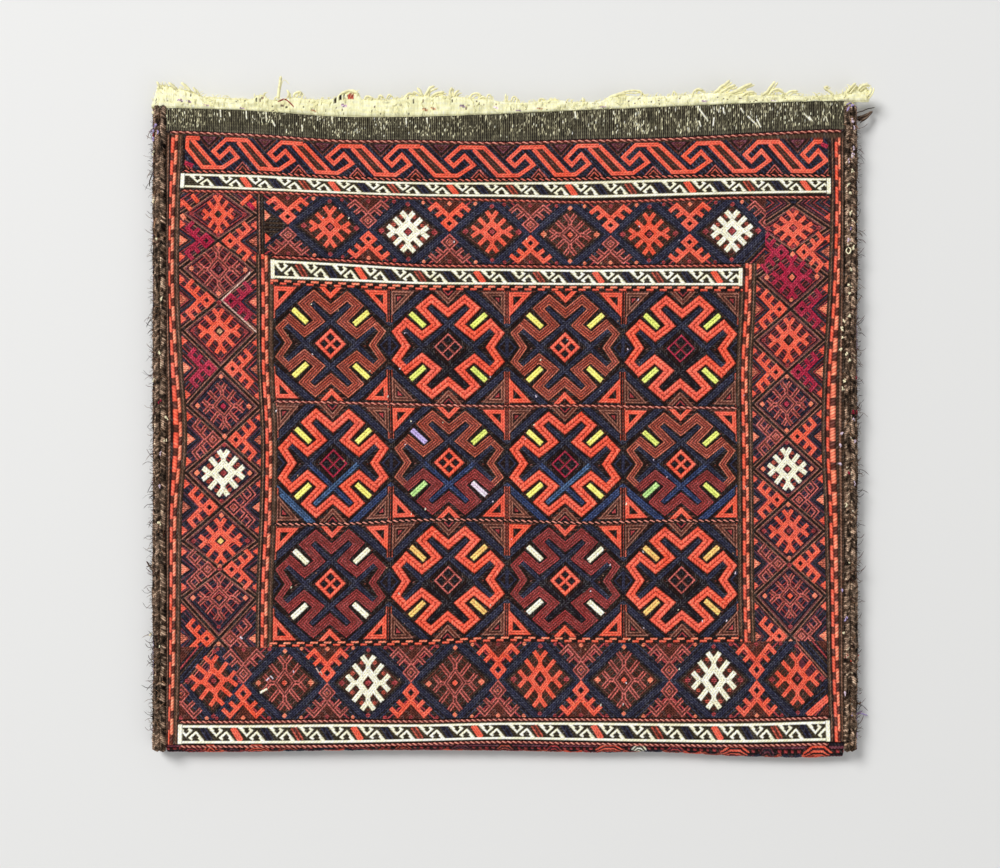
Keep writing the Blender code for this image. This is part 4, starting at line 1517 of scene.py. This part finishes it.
def twinedPieces():
    made = []
    for node, (light, dark, pitch) in twinedLines.items():
        middle, half = lowOf(node, 1) + 0.75, highOf(node, 0)
        for side, near, far in (("left", -half, 0.0), ("right", 0.0, half)):
            made.append(twinedPiece(
                f"{node}_{side}", node, np.linspace(near, far, 240), middle,
                lambda x, y: crownAt(x, y) + 0.34, pitch, (light, dark), 71, "mouth",
            ))
    u = np.linspace(lowOf("fold_twining", 0), highOf("fold_twining", 0), 480)
    made.append(twinedPiece(
        "fold_twining_yarn", "fold_twining", u, clothFoot - 1.1, lambda x, y: x * 0 + 0.2, 2.5,
        ("twineLight", "twineDark"), 77, "back",
    ))
    return made


ropePieces = twinedPieces()
print("twined lines made")

cordLook = {"wrap": 1.0, "bulge": 0.2, "step": 0.25, "sides": 14, "wander": 0.7, "left": 1.05, "right": 1.3}


def edgeCord(node, seed):
    # a goat-hair cord wrapped crosswise, lumpy and mixed in colour
    low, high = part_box(node)
    x, z = (low.x + high.x) / 2 / mm, (low.z + high.z) / 2 / mm
    radius = (high.x - low.x) / 2 / mm
    y = np.arange(low.y / mm + 0.4, high.y / mm, cordLook["step"])
    still = y * 0
    drift = cordLook["wander"] * (softNoise(y, still, 26, seed) - 0.5)
    drift = drift + 0.4 * (softNoise(y, still, 5, seed + 1) - 0.5)
    line = np.stack([x + drift, y, z + 0.4 * (softNoise(y, still, 11, seed + 2) - 0.5)], 1)
    angle = np.arange(cordLook["sides"]) * 2 * math.pi / cordLook["sides"]
    slant = 1 if seed % 2 else -1
    strand = np.floor(3 * angle / (2 * math.pi))[None]
    phase = y[:, None] / cordLook["wrap"] + slant * 0.9 * np.cos(angle)[None] + 0.37 * strand
    phase = phase + 1.3 * softNoise(y, still, 4, seed + 3)[:, None]
    swell = np.abs(np.sin(math.pi * phase))
    size = 0.94 + 0.3 * softNoise(y, still, 2.1, seed + 4)
    ends = np.clip(np.minimum(np.arange(len(y)), np.arange(len(y))[::-1]) / 3, 0.1, 1)
    radii = (
        radius * (1 - cordLook["bulge"] + 1.6 * cordLook["bulge"] * swell) * size[:, None] * ends[:, None]
    )
    pick = scatter(np.floor(phase), strand + seed)
    across, along = angle[None] * np.ones_like(phase), y[:, None] * np.ones_like(phase)
    streak = softNoise(across * 3, along, 1.4, seed + 5) * (0.5 + softNoise(across * 2, along, 7, seed + 6))
    tint = dyeOf["goatDark"] + (dyeOf["goat"] * 2.4 - dyeOf["goatDark"]) * (pick ** 1.8)[..., None]
    # painted shade: patches where the cord's hollows are darkened
    hollowShade = np.clip(3.2 * softNoise(across * 2.2, along, 2.2, seed + 7) - 0.6, 0.08, 1)
    # the right cords are drawn brighter than the left
    hollowShade = hollowShade * cordLook[node.split("_")[0]]
    # painted shade: each wrap darkens towards its ends, under random streaks of lighter and darker hair
    return line, radii, tint * ((0.12 + 1.2 * swell ** 1.5) * (0.4 + 1.6 * streak) * hollowShade)[..., None]


def cordPieces():
    for s, side in enumerate(("left", "right")):
        for f, face in enumerate(("front", "back")):
            for p, place in enumerate(("outer", "middle", "inner")):
                node = f"{side}_{face}_cord_{place}"
                cord = edgeCord(node, 101 + 13 * s + 5 * f + p)
                sweep(f"{node}_wrapped", [cord], cordLook["sides"], "goatHair", [node], "back")


def seamThreads():
    for side in ("left", "right"):
        low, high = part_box(f"{side}_seam_thread")
        x, z = (low.x + high.x) / 2 / mm, (low.z + high.z) / 2 / mm
        y = np.arange(low.y / mm + 0.3, high.y / mm, 0.5)
        line = np.stack([x + 0.15 * np.sin(y / 1.1), y, z + 0.25 * np.sin(y / 2.7)], 1)
        strands = twistedStrands(line, 2.2, 0.16, 0.2, ("lilac", "paleLilac"), 83)
        sweep(f"{side}_seam_thread_yarn", strands, 5, "seamYarn", [f"{side}_seam_thread"], "back")


cordPieces()
seamThreads()
print("edge cords and seam threads made")


# ---- frayed cotton, hairs and loose threads
def curvePoints(line, step=0.5):
    # a smooth curve through a few places in space
    line = np.asarray(line, float)
    if len(line) > 2:
        at = np.arange(len(line))
        fine = np.linspace(0, len(line) - 1, 8 * len(line))
        line = np.stack([smoothCurve(fine, at, line[:, k]) for k in range(3)], 1)
    return resample(line, step)


def yarnAt(pixels, heights, radius, dye, seed=0, curl=0.0):
    # a loose yarn through pixel places, with its height over the table at each
    line = np.stack([acrossOf([p[0] for p in pixels]), upOf([p[1] for p in pixels]), heights], 1)
    line = curvePoints(line, 0.45)
    gone = np.arange(len(line))
    line[:, 0] += curl * (softNoise(gone, gone * 0, 4, seed) - 0.5)
    line[:, 1] += curl * (softNoise(gone, gone * 0, 4, seed + 1) - 0.5)
    tint = dyeOf[dye] * (0.8 + 0.35 * softNoise(gone, gone * 0, 2.0, seed + 2))[:, None]
    return line, taper(len(line), radius), tint


# Loops and tufts of the hem that the photograph shows: thickness, then pixel places along each
hemTufts = [
    (0.62, 177, 90, 172, 86, 168.5, 81.5), (0.62, 191, 92, 186, 87, 181, 81.5),
    (0.5, 197, 94, 195, 90, 193, 87), (0.5, 160, 88, 158, 84, 156, 81.5),
    (0.5, 287, 98, 288.5, 94, 286.5, 89.5), (0.5, 293, 97, 295, 93.5, 300.5, 92, 299, 97),
    (0.6, 337, 98, 343, 93, 350, 91, 357, 93, 356, 98), (0.5, 346, 96, 352, 90.5, 357, 92),
    (0.45, 364, 101, 366, 96.5, 372, 98, 370, 101), (0.5, 378, 100, 380, 95.5, 384, 98),
    (0.4, 386, 99, 389, 94.5, 393, 97), (0.5, 404, 99, 409, 93.5, 414, 95),
    (0.6, 424, 98, 420, 92, 417, 87), (0.6, 424, 97, 429, 89, 435.5, 86),
    (0.55, 428, 101, 435, 94, 444.5, 92), (0.6, 451, 99, 450, 92, 452, 86.5),
    (0.5, 453, 98, 456, 92, 460, 90.5), (0.4, 421, 96, 415, 92, 412, 94),
    (0.42, 433, 103, 440, 97, 450, 98, 456, 102), (0.45, 468, 99, 473, 94, 480, 94.5, 478, 98),
    (0.42, 476, 101, 483, 97, 489, 101), (0.36, 486, 101, 487.5, 95, 491, 96, 491, 101),
    (0.42, 506, 103, 505.5, 98, 506, 93.5), (0.4, 511, 102, 513, 97, 517, 99, 516, 104),
    (0.42, 538, 103, 540, 99, 546, 100), (0.42, 548, 102, 554, 99, 559, 101),
    (0.55, 582.5, 104, 582.8, 100, 582.5, 97), (0.7, 604, 103, 611, 97, 620, 94, 626, 94),
    (0.42, 622, 96, 624, 91.7, 640, 91.4, 641.8, 97.5), (0.36, 672, 97, 674, 91.5, 676, 95),
    (0.5, 692, 95, 695, 90, 699, 88.8, 704, 91), (0.6, 713, 94, 721, 87, 730.5, 80),
    (0.6, 716, 95, 726, 89, 736, 84.5), (0.66, 729, 95, 741, 88, 752.5, 83.5),
    (0.55, 740, 96, 747, 93, 755, 91.5), (0.55, 724, 95, 734, 92, 744, 89),
    (0.62, 762, 96, 769, 89, 775.5, 80.5), (0.5, 768, 95, 773, 90, 780, 89.5, 784, 93),
    (0.5, 786, 95, 791, 91.5, 798.5, 91.5), (0.5, 833, 94, 828, 91, 824, 88, 829, 86),
    (0.6, 847, 92, 852, 86, 856, 83), (0.6, 858, 90, 863, 85, 869.5, 84.5),
    (0.55, 866, 97, 870.5, 92, 871.5, 86),
]
fringe = {"strands": 620, "length": (0.8, 2.8), "radius": 0.2, "lying": 420, "lyingLength": (1.2, 3.4)}


def frayPieces():
    strands = []
    for k, (radius, *pixels) in enumerate(hemTufts):
        pixels = np.reshape(pixels, (-1, 2))
        heights = surface["brocade"] + 0.6 + 1.0 * np.sin(np.linspace(0.2, 2.6, len(pixels)))
        strands.append(yarnAt(pixels, heights, radius * 1.15, "cotton", 200 + k, 0.5))
        strands.append(yarnAt(pixels + (2.2, 1.4), heights - 0.5, radius * 0.8, "cotton", 260 + k, 0.9))
    chance = np.random.default_rng(67)
    pick = chance.uniform
    pixels, tops = np.array(hemTop, float).T
    for _ in range(fringe["strands"]):
        px = pick(152, 870)
        py = float(np.interp(px, pixels, tops)) + 1.6
        long = pick(*fringe["length"]) / photo["scale"]
        swing = pick(-0.8, 0.8) * long
        line = [(px, py), (px + swing * 0.3, py - long * 0.55)]
        line.append((px + swing, py - long * pick(0.6, 1.0)))
        level = surface["brocade"] + pick(0.2, 1.2)
        heights = level + np.array([0.0, 0.3, pick(-0.8, 0.3)])
        strands.append(yarnAt(line, heights, fringe["radius"] * pick(0.6, 1.3), "cotton", 300))
    for _ in range(fringe["lying"]):
        # fuzz lying on the hem's face
        px = pick(153, 869)
        top, foot = float(np.interp(px, pixels, tops)) + 1, edgeAt(px) + 0.5
        py = pick(top, foot)
        long, turn = pick(*fringe["lyingLength"]) / photo["scale"], chance.normal(0, 0.5)
        dx, dy = long * math.sin(turn), long * math.cos(turn)
        low, high = (px - dx / 2, min(py + dy / 2, foot)), (px + dx / 2, max(py - dy / 2, top - 2))
        line = [low, (px + chance.normal(0, 0.6), py), high]
        x, y = float(acrossOf(px)), float(upOf(py))
        level = surface["brocade"] + float(crownAt(x, y)) + 0.75
        heights = level + np.array([-0.15, pick(0.0, 0.35), -0.15])
        line, radius, tint = yarnAt(line, heights, fringe["radius"] * pick(0.5, 1.1), "cotton", 300)
        strands.append((line, radius, tint * pick(0.85, 1.2)))
    made = []
    for side in ("left", "right"):
        ours = [s for s in strands if (s[0][:, 0].mean() < 0) == (side == "left")]
        made.append(sweep(f"hem_fray_{side}", ours, 5, "cottonHem", None, "mouth"))
    return made


# Loose ends at hem and seams: dye, thickness, pixel places
looseEnds = [
    ("cotton", 0.75, 277.5, 99, 279, 90, 281, 76),
    ("cotton", 0.16, 279.5, 99, 280.5, 88, 284, 80, 290, 85),
    ("wine", 0.3, 276, 103, 283.5, 99, 290, 103, 296.5, 110),
]
seamEnds = [
    ("madder", 0.34, 850, 661, 857, 661.5, 864.5, 658), ("tan", 0.34, 851, 707, 858, 706, 866.5, 706.8),
    ("lilac", 0.36, 851, 716, 860, 715, 873, 719.6), ("lilac", 0.3, 852, 713, 858, 717, 868, 715),
    ("lilac", 0.4, 846, 105, 852, 102, 858, 106, 862, 101), ("lilac", 0.34, 849, 109, 853, 104, 858, 103),
    ("goatDark", 0.22, 858, 112, 868, 107, 880, 102), ("goatDark", 0.3, 857, 118, 868, 112, 878, 107),
    ("goatDark", 0.2, 852, 572, 858, 573, 862, 566), ("goatDark", 0.3, 158, 572, 149, 569, 141, 563),
    ("goatDark", 0.24, 158, 566, 150, 566, 141, 569), ("goatDark", 0.24, 152, 170, 147, 175, 144, 183),
]
cornerTuft = {"count": 34, "root": (861, 118), "tip": (875.5, 109)}
edgeHair = {"count": 1300, "length": (1.5, 6.0), "radius": 0.11, "lying": 3000, "lyingLength": (1.4, 4.4)}
fuzz = {"count": 3600, "length": (0.9, 2.6), "radius": 0.13}
# Pixel places and sizes of the white and coloured bits caught in the cords
edgeSpecks = {
    "ivory": [
        (848, 184, 2), (850, 212, 2), (850.7, 192, 2), (854, 246, 2), (850.7, 267.7, 3), (849, 284.5, 2),
        (849, 293, 2), (848.4, 313.6, 2), (843, 319.7, 2), (842, 327, 2), (842, 337, 2),
        (840.7, 348.8, 3), (846, 352.6, 2), (849, 360, 2), (843.8, 378.7, 2), (843, 387, 2),
        (844, 632, 2), (852, 170, 2), (162.6, 297.7, 3), (160, 351, 3), (152.7, 379, 2), (167, 417, 3),
        (165.7, 438.5, 2), (159.5, 522, 2), (152, 151, 3), (152, 111, 3), (153, 199, 1), (156, 236, 1),
        (149, 634, 1), (160, 645, 1), (848, 560, 1), (846, 505, 1),
    ],
    "paleLilac": [
        (841.5, 431.5, 2), (840, 443.8, 2), (855, 440.7, 2), (840, 462, 2), (853.7, 419, 2),
        (854.5, 482, 2), (845.8, 691.7, 2), (854, 126, 2), (852, 119, 2), (853, 147, 3), (853, 154, 3),
        (849, 160, 2), (849, 239, 2), (161, 452, 2), (159.5, 484.5, 2),
    ],
    "lilac": [
        (845.3, 617.5, 2), (151, 129, 3), (152, 137, 3), (155, 124, 3), (158, 131, 2), (848, 108, 2),
        (852, 104, 3), (842, 588, 1), (851, 228, 1),
    ],
    "crimson": [
        (849, 470.6, 2), (857, 375, 2), (853, 411, 4), (858, 411, 3), (153, 133, 2), (160, 400, 1),
        (846, 655, 1),
    ],
}
whiteLoop = [(847.6, 247), (850.5, 250), (848.4, 254), (845.8, 251.5), (847, 247.6)]


def overCords(x):
    # height of a yarn lying on the front cords
    places = [161.0, 162.9, 164.2, 165.5, 166.4, 167.4, 168.4]
    return np.interp(np.abs(x), places, [11.0, 11.6, 11.3, 10.9, 10.0, 8.7, 7.4])


def overLine(line):
    return overCords(acrossOf([place[0] for place in line]))


def hairOf(line, radius, dye, step=None):
    line = curvePoints(line, step) if step else resample(line, 0.5)
    return line, taper(len(line), radius), dye


def looseThreads():
    strands = []
    for k, (dye, radius, *line) in enumerate(looseEnds):
        line = np.reshape(line, (-1, 2))
        heights = surface["brocade"] + 1.2 + 0.2 * np.arange(len(line))
        strands.append(yarnAt(line, heights, radius, dye, 400 + k, 0.3))
    sweep("hem_loose_threads", strands, 5, "cottonHem", None, "mouth")
    strands = []
    for k, (dye, radius, *line) in enumerate(seamEnds):
        line = np.reshape(line, (-1, 2))
        first = float(overLine(line)[0]) - 0.3
        strands.append(yarnAt(line, np.linspace(first, 1.2, len(line)), radius, dye, 420 + k, 0.5))
    strands.append(yarnAt(whiteLoop, overLine(whiteLoop) + 0.4, 0.34, "ivory", 470))
    chance = np.random.default_rng(73)
    pick = chance.uniform
    for dye, places in edgeSpecks.items():
        for px, py, bits in places:
            for _ in range(bits + 1):
                x, y = px + pick(-1, 1), py + pick(-1.6, 1.6)
                line = [(x, y), (x + pick(-1.2, 1.2), y + 1.2)]
                line.append((x + pick(-1.6, 1.6), y + pick(1.6, 3.2)))
                heights = overLine(line) + np.array([0.1, 0.7, 0.2])
                strands.append(yarnAt(line, heights, pick(0.42, 0.7), dye, 500))
    for _ in range(cornerTuft["count"]):
        (x, y), (dx, dy) = chance.normal(cornerTuft["root"], 1.6), chance.normal(cornerTuft["tip"], 0.7)
        line = [(x, y), ((x + dx) / 2, (y + dy) / 2 + 1.2), (dx, dy)]
        dye = ["goatDark", "soot", "goatDark", "goat"][chance.integers(4)]
        strands.append(yarnAt(line, [7.5, 6.0, pick(2.5, 5.0)], pick(0.2, 0.34), dye, 520, 0.5))
    sweep("seam_loose_threads", strands, 5, "seamYarn", None, "back")
    sweep("edge_hairs", edgeHairs(chance), 3, "goatHair", None, "back")
    lyingHairs(chance)


def edgeHairs(chance):
    # long hairs in clumps, then short ones that stand out all along the cords
    pick = chance.uniform
    hairs, clumps = [], pick(-148, 141, 70)
    for _ in range(edgeHair["count"]):
        side = -1 if chance.random() < 0.5 else 1
        if chance.random() < 0.5:
            y = pick(-150, 142)
        else:
            y = clumps[chance.integers(len(clumps))] + chance.normal(0, 2.2)
        y = min(max(y, -151), 143)
        x = side * pick(162.0, 168.6)
        angle = pick(0, 2 * math.pi)
        long = pick(*edgeHair["length"])
        out = side * abs(math.cos(angle)) if chance.random() < 0.7 else math.cos(angle)
        start = np.array([x, y, float(overCords(x)) - pick(0.3, 3.0)])
        mid = start + np.array([out * 0.5, math.sin(angle) * 0.5, pick(0.0, 0.5)]) * long
        end = mid + np.array([out * 0.5, math.sin(angle + 0.8) * 0.5, pick(-0.7, 0.2)]) * long
        end[2] = max(end[2], 0.5)
        dye = dyeOf[["goatDark", "goat", "soot", "bark"][chance.integers(4)]]
        hairs.append(hairOf([start, mid, end], edgeHair["radius"] * pick(0.6, 1.5), dye, 0.6))
    for _ in range(fuzz["count"]):
        side, y = (-1, 1)[chance.integers(2)], pick(-151, 142)
        x, z = side * pick(166.4, 168.2), pick(1.5, 9.6)
        long, turn = pick(*fuzz["length"]), chance.normal(0, 0.8)
        out = np.array([side * math.cos(turn), math.sin(turn), pick(-0.3, 0.35)]) * long
        bend = np.array([0.0, chance.normal(0, 0.3), pick(0, 0.3)])
        line = np.array([x, y, z]) + np.array([[0.0, 0.0, 0.0], out * 0.5 + bend, out])
        line[:, 2] = np.maximum(line[:, 2], 0.4)
        dye = dyeOf[["goatDark", "goat", "soot", "goatDark"][chance.integers(4)]]
        hairs.append(hairOf(line, fuzz["radius"] * pick(0.6, 1.4), dye))
    return hairs


def lyingHairs(chance):
    # goat hair felted over the front cords
    pick = chance.uniform
    for side in ("left", "right"):
        boxes = [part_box(f"{side}_front_cord_{place}") for place in ("outer", "middle", "inner")]
        hairs = []
        for _ in range(edgeHair["lying"] // 2):
            low, high = boxes[chance.integers(3)]
            turn = pick(0.1 * math.pi, 0.9 * math.pi)
            radius = (high.x - low.x) / 2 / mm + pick(0.0, 0.25)
            x = (low.x + high.x) / 2 / mm + radius * math.cos(turn)
            z = (low.z + high.z) / 2 / mm + radius * math.sin(turn)
            long, lean = pick(*edgeHair["lyingLength"]), chance.normal(0, 0.8)
            y = pick(low.y / mm + 1, high.y / mm - 5)
            dx, dy = long * math.sin(lean), long * math.cos(lean)
            line = [(x - dx / 2, y, z - 0.12), (x, y + long / 2, z + 0.16), (x + dx / 2, y + dy, z - 0.15)]
            dye = dyeOf[["goatDark", "goat", "goat", "soot", "tan"][chance.integers(5)]]
            hairs.append(hairOf(line, pick(0.07, 0.15), dye * pick(0.4, 1.9), 0.9))
        sweep(f"{side}_cord_hairs", hairs, 3, "goatHair", None, "back")


frayMade = frayPieces()
looseThreads()
print("fray, hairs and loose threads made")


# ---- folded edge and back
# How far the folded edge hangs lower than its solid: pixel place across, millimetres
foldSag = [
    (165, 0.4), (240, 0.2), (340, -0.5), (500, -0.4), (610, 0.5), (650, 0.2), (735, 2.2), (820, 2.9),
    (842, 2.6),
]


def placeFold(u, w, relief):
    # w runs over the fold: from the front lip, round the bend, to the back lip
    radius, lip = surface["foldRadius"], abs(clothFoot - surface["foldMiddle"])
    bend = math.pi * radius
    turn = np.clip((w - lip) / radius, 0, math.pi)
    out = radius + relief
    pixels, drops = np.array(foldSag, float).T
    sag = smoothCurve(u, acrossOf(pixels), drops)
    y = surface["foldMiddle"] - (out + sag) * np.sin(turn)
    z = radius + out * np.cos(turn)
    y = np.where(w < lip, surface["foldMiddle"] + lip - w, y)
    y = np.where(w > lip + bend, surface["foldMiddle"] + w - lip - bend, y)
    return np.stack([u, y, z], -1)


# Pixel places along the fold where the back's pattern shows in one colour
foldPatches = [
    (182, 196, "wine"), (205, 214, "madder"), (226, 236, "plum"), (246, 266, "madder"),
    (279, 296, "walnut"), (318, 330, "indigo"), (352, 368, "wine"), (396, 410, "walnut"),
    (452, 470, "plum"), (498, 512, "walnut"), (548, 560, "wine"), (597, 622, "madder"),
    (634, 645, "ivory"), (668, 684, "wine"), (723, 749, "madder"), (762, 774, "plum"),
    (806, 832, "madder"),
]


def foldPiece():
    # the fold carries the first rows of the pattern that the back starts with
    radius, lip = surface["foldRadius"], abs(clothFoot - surface["foldMiddle"])
    around = math.pi * radius + 2 * lip
    cloth = newCloth((-clothHalf, 0.0), (clothHalf, around), 0.42)
    whole = rectangle((-clothHalf - 1, -1), (clothHalf + 1, around + 1))
    stitchPatch(cloth, whole, "night plum night soot", lift=-0.3)
    chance = np.random.default_rng(53)
    for k, u in enumerate(np.arange(-148, 152, 9.5)):
        dye = ["walnut", "indigo", "plum", "wine", "walnut"][chance.integers(5)]
        if k % 6 == 1:
            dye = "madder"
        stitchRun(cloth, [(u - 4.4, 6.2), (u, 10.0), (u + 4.4, 6.2)], [dye] * 2, 1.1)
    stitchRun(cloth, [(-clothHalf, 5.0), (clothHalf, 5.0)], [("wine", "soot", 3.1, 0.5, 0.0)], 1.1)
    for start, end, dye in foldPatches:
        u = acrossOf([start, end])
        isBright = dye in ("madder", "ivory")
        rows = f"{dye} soot {dye} night {dye} soot" if isBright else f"soot {dye} night {dye} soot"
        middle, half = float(u.mean()), float(u[1] - u[0]) / 2
        arc = [(-half, 6.6), (-half * 0.4, 4.4), (half * 0.4, 4.4), (half, 6.6)]
        stitchRun(cloth, placed(arc, (middle, 0)), rows, 0.8)
    ageYarn(cloth, 57)
    u, w = np.meshgrid(cloth["u"], cloth["v"])
    tints = (cloth["tint"], plainTint(u, w, "goatDark", "goat", 59))
    return sheetBetween(
        "bottom_fold_cloth", u, w, cloth["relief"] * 0.8 - 0.1, np.full_like(u, -1.7), tints,
        "indigoSoumak", ["bottom_fold"], "back", placeFold,
    )


foldMade = foldPiece()
backLook = {"step": 0.85, "period": 46.0, "sag": 5.5}


def backPiece():
    # the back's inner side shows when the mouth is open; its outer side lies on the table
    u, v = np.meshgrid(
        np.linspace(-clothHalf, clothHalf, round(2 * clothHalf / backLook["step"])),
        np.linspace(clothFoot, lowOf("back_hem", 1) - 0.2, round(296 / backLook["step"])),
    )
    turn = (v / backLook["period"]) % 1
    stripe = (turn < 0.09) | ((turn > 0.14) & (turn < 0.17)) | ((turn > 0.93) & (turn < 0.96))
    red = dyeOf["wine"] * (0.8 + 0.3 * softNoise(u, v, 2, 93))[..., None]
    seen = np.where(stripe[..., None], red, plainTint(u, v, "goatDark", "goat", 91))
    ribs = 0.10 * np.sin(v * 2 * math.pi / 2.6) + 0.1 * (softNoise(u, v, 2.0, 95) - 0.5)

    def place(a, b, relief):
        share = np.clip((b - clothFoot) / (lowOf("header_band", 1) - clothFoot), 0, 1)
        return np.stack([a, b + backLook["sag"] * (a / clothHalf) ** 2 * share ** 6, relief], -1)

    top = surface["backInside"] - 0.15 + ribs
    under = 0.12 + 0.5 * np.abs(ribs)
    return sheetBetween(
        "back_panel_cloth", u, v, top, under, (seen, seen), "groundWool", ["back_panel"], "back", place,
    )


def backHem():
    foot = lowOf("back_hem", 1)
    u, v = np.meshgrid(np.linspace(-bagHalf, bagHalf, 420), np.linspace(foot, foot + hemHeight, 18))
    roll = rollOf((v - v.min()) / hemHeight)
    tint = dyeOf["cotton"] * (0.75 + 0.3 * softNoise(u * 3, v, 2.2, 97))[..., None]

    def place(a, b, relief):
        return np.stack([a, b + backLook["sag"] * (a / clothHalf) ** 2, relief], -1)

    top = 0.9 + 1.05 * roll + 0.3 * (softNoise(u, v, 3, 98) - 0.5) * roll
    return sheetBetween(
        "back_hem_cloth", u, v, top, 0.9 - 0.75 * roll, (tint, tint), "cottonHem", ["back_hem"],
        "back", place,
    )


backMade, backHemMade = backPiece(), backHem()
print("fold and back made")


def declareSheets():
    backLong = (lowOf("back_hem", 1) - clothFoot) * mm


declareSheets()

# ---- what lies round the bag
floorLook = {"size": 6.0, "colour": (0.76, 0.76, 0.75), "rough": 0.9}


def floor():
    bpy.ops.mesh.primitive_plane_add(size=floorLook["size"], location=(0, 0, -0.0002))
    plane = bpy.context.object
    plane.name = "studio_floor"
    material, tree, shader = newMaterial("paleFloor")
    fill(tree, shader, {"Base Color": (*floorLook["colour"], 1), "Roughness": floorLook["rough"]})
    plane.data.materials.append(material)


lamps = {
    # place in metres, size, watts
    "key": ((-2.0, 2.0, 2.9), 1.45, 138.0),
    "fill": ((2.0, -1.3, 3.1), 3.3, 27.0),
}


def lights():
    for name, (place, size, watts) in lamps.items():
        data = bpy.data.lights.new(name, "AREA")
        data.energy, data.size = watts, size
        lamp = bpy.data.objects.new(name, data)
        lamp.location = place
        lamp.rotation_euler = (-Vector(place)).to_track_quat("-Z", "Y").to_euler()
        bpy.context.scene.collection.objects.link(lamp)
    world = bpy.data.worlds.new("studio")
    world.use_nodes = True
    world.node_tree.nodes["Background"].inputs["Color"].default_value = (1, 1, 1, 1)
    world.node_tree.nodes["Background"].inputs["Strength"].default_value = 0.36
    bpy.context.scene.world = world


lens = {"focal": 50.0, "sensor": 36.0}


def camera():
    data = bpy.data.cameras.new("photoView")
    data.lens, data.sensor_width = lens["focal"], lens["sensor"]
    eye = bpy.data.objects.new("photoView", data)
    away = photo["width"] * photo["scale"] * lens["focal"] / lens["sensor"]
    x = float(acrossOf(photo["width"] / 2)) * mm
    y = float(upOf(photo["height"] / 2)) * mm
    eye.location = (x, y, (away + surface["brocade"] + 1.5) * mm)
    bpy.context.scene.collection.objects.link(eye)
    bpy.context.scene.camera = eye


floor()
lights()
camera()
bpy.context.scene.view_settings.view_transform = "Standard"
print("stage set")
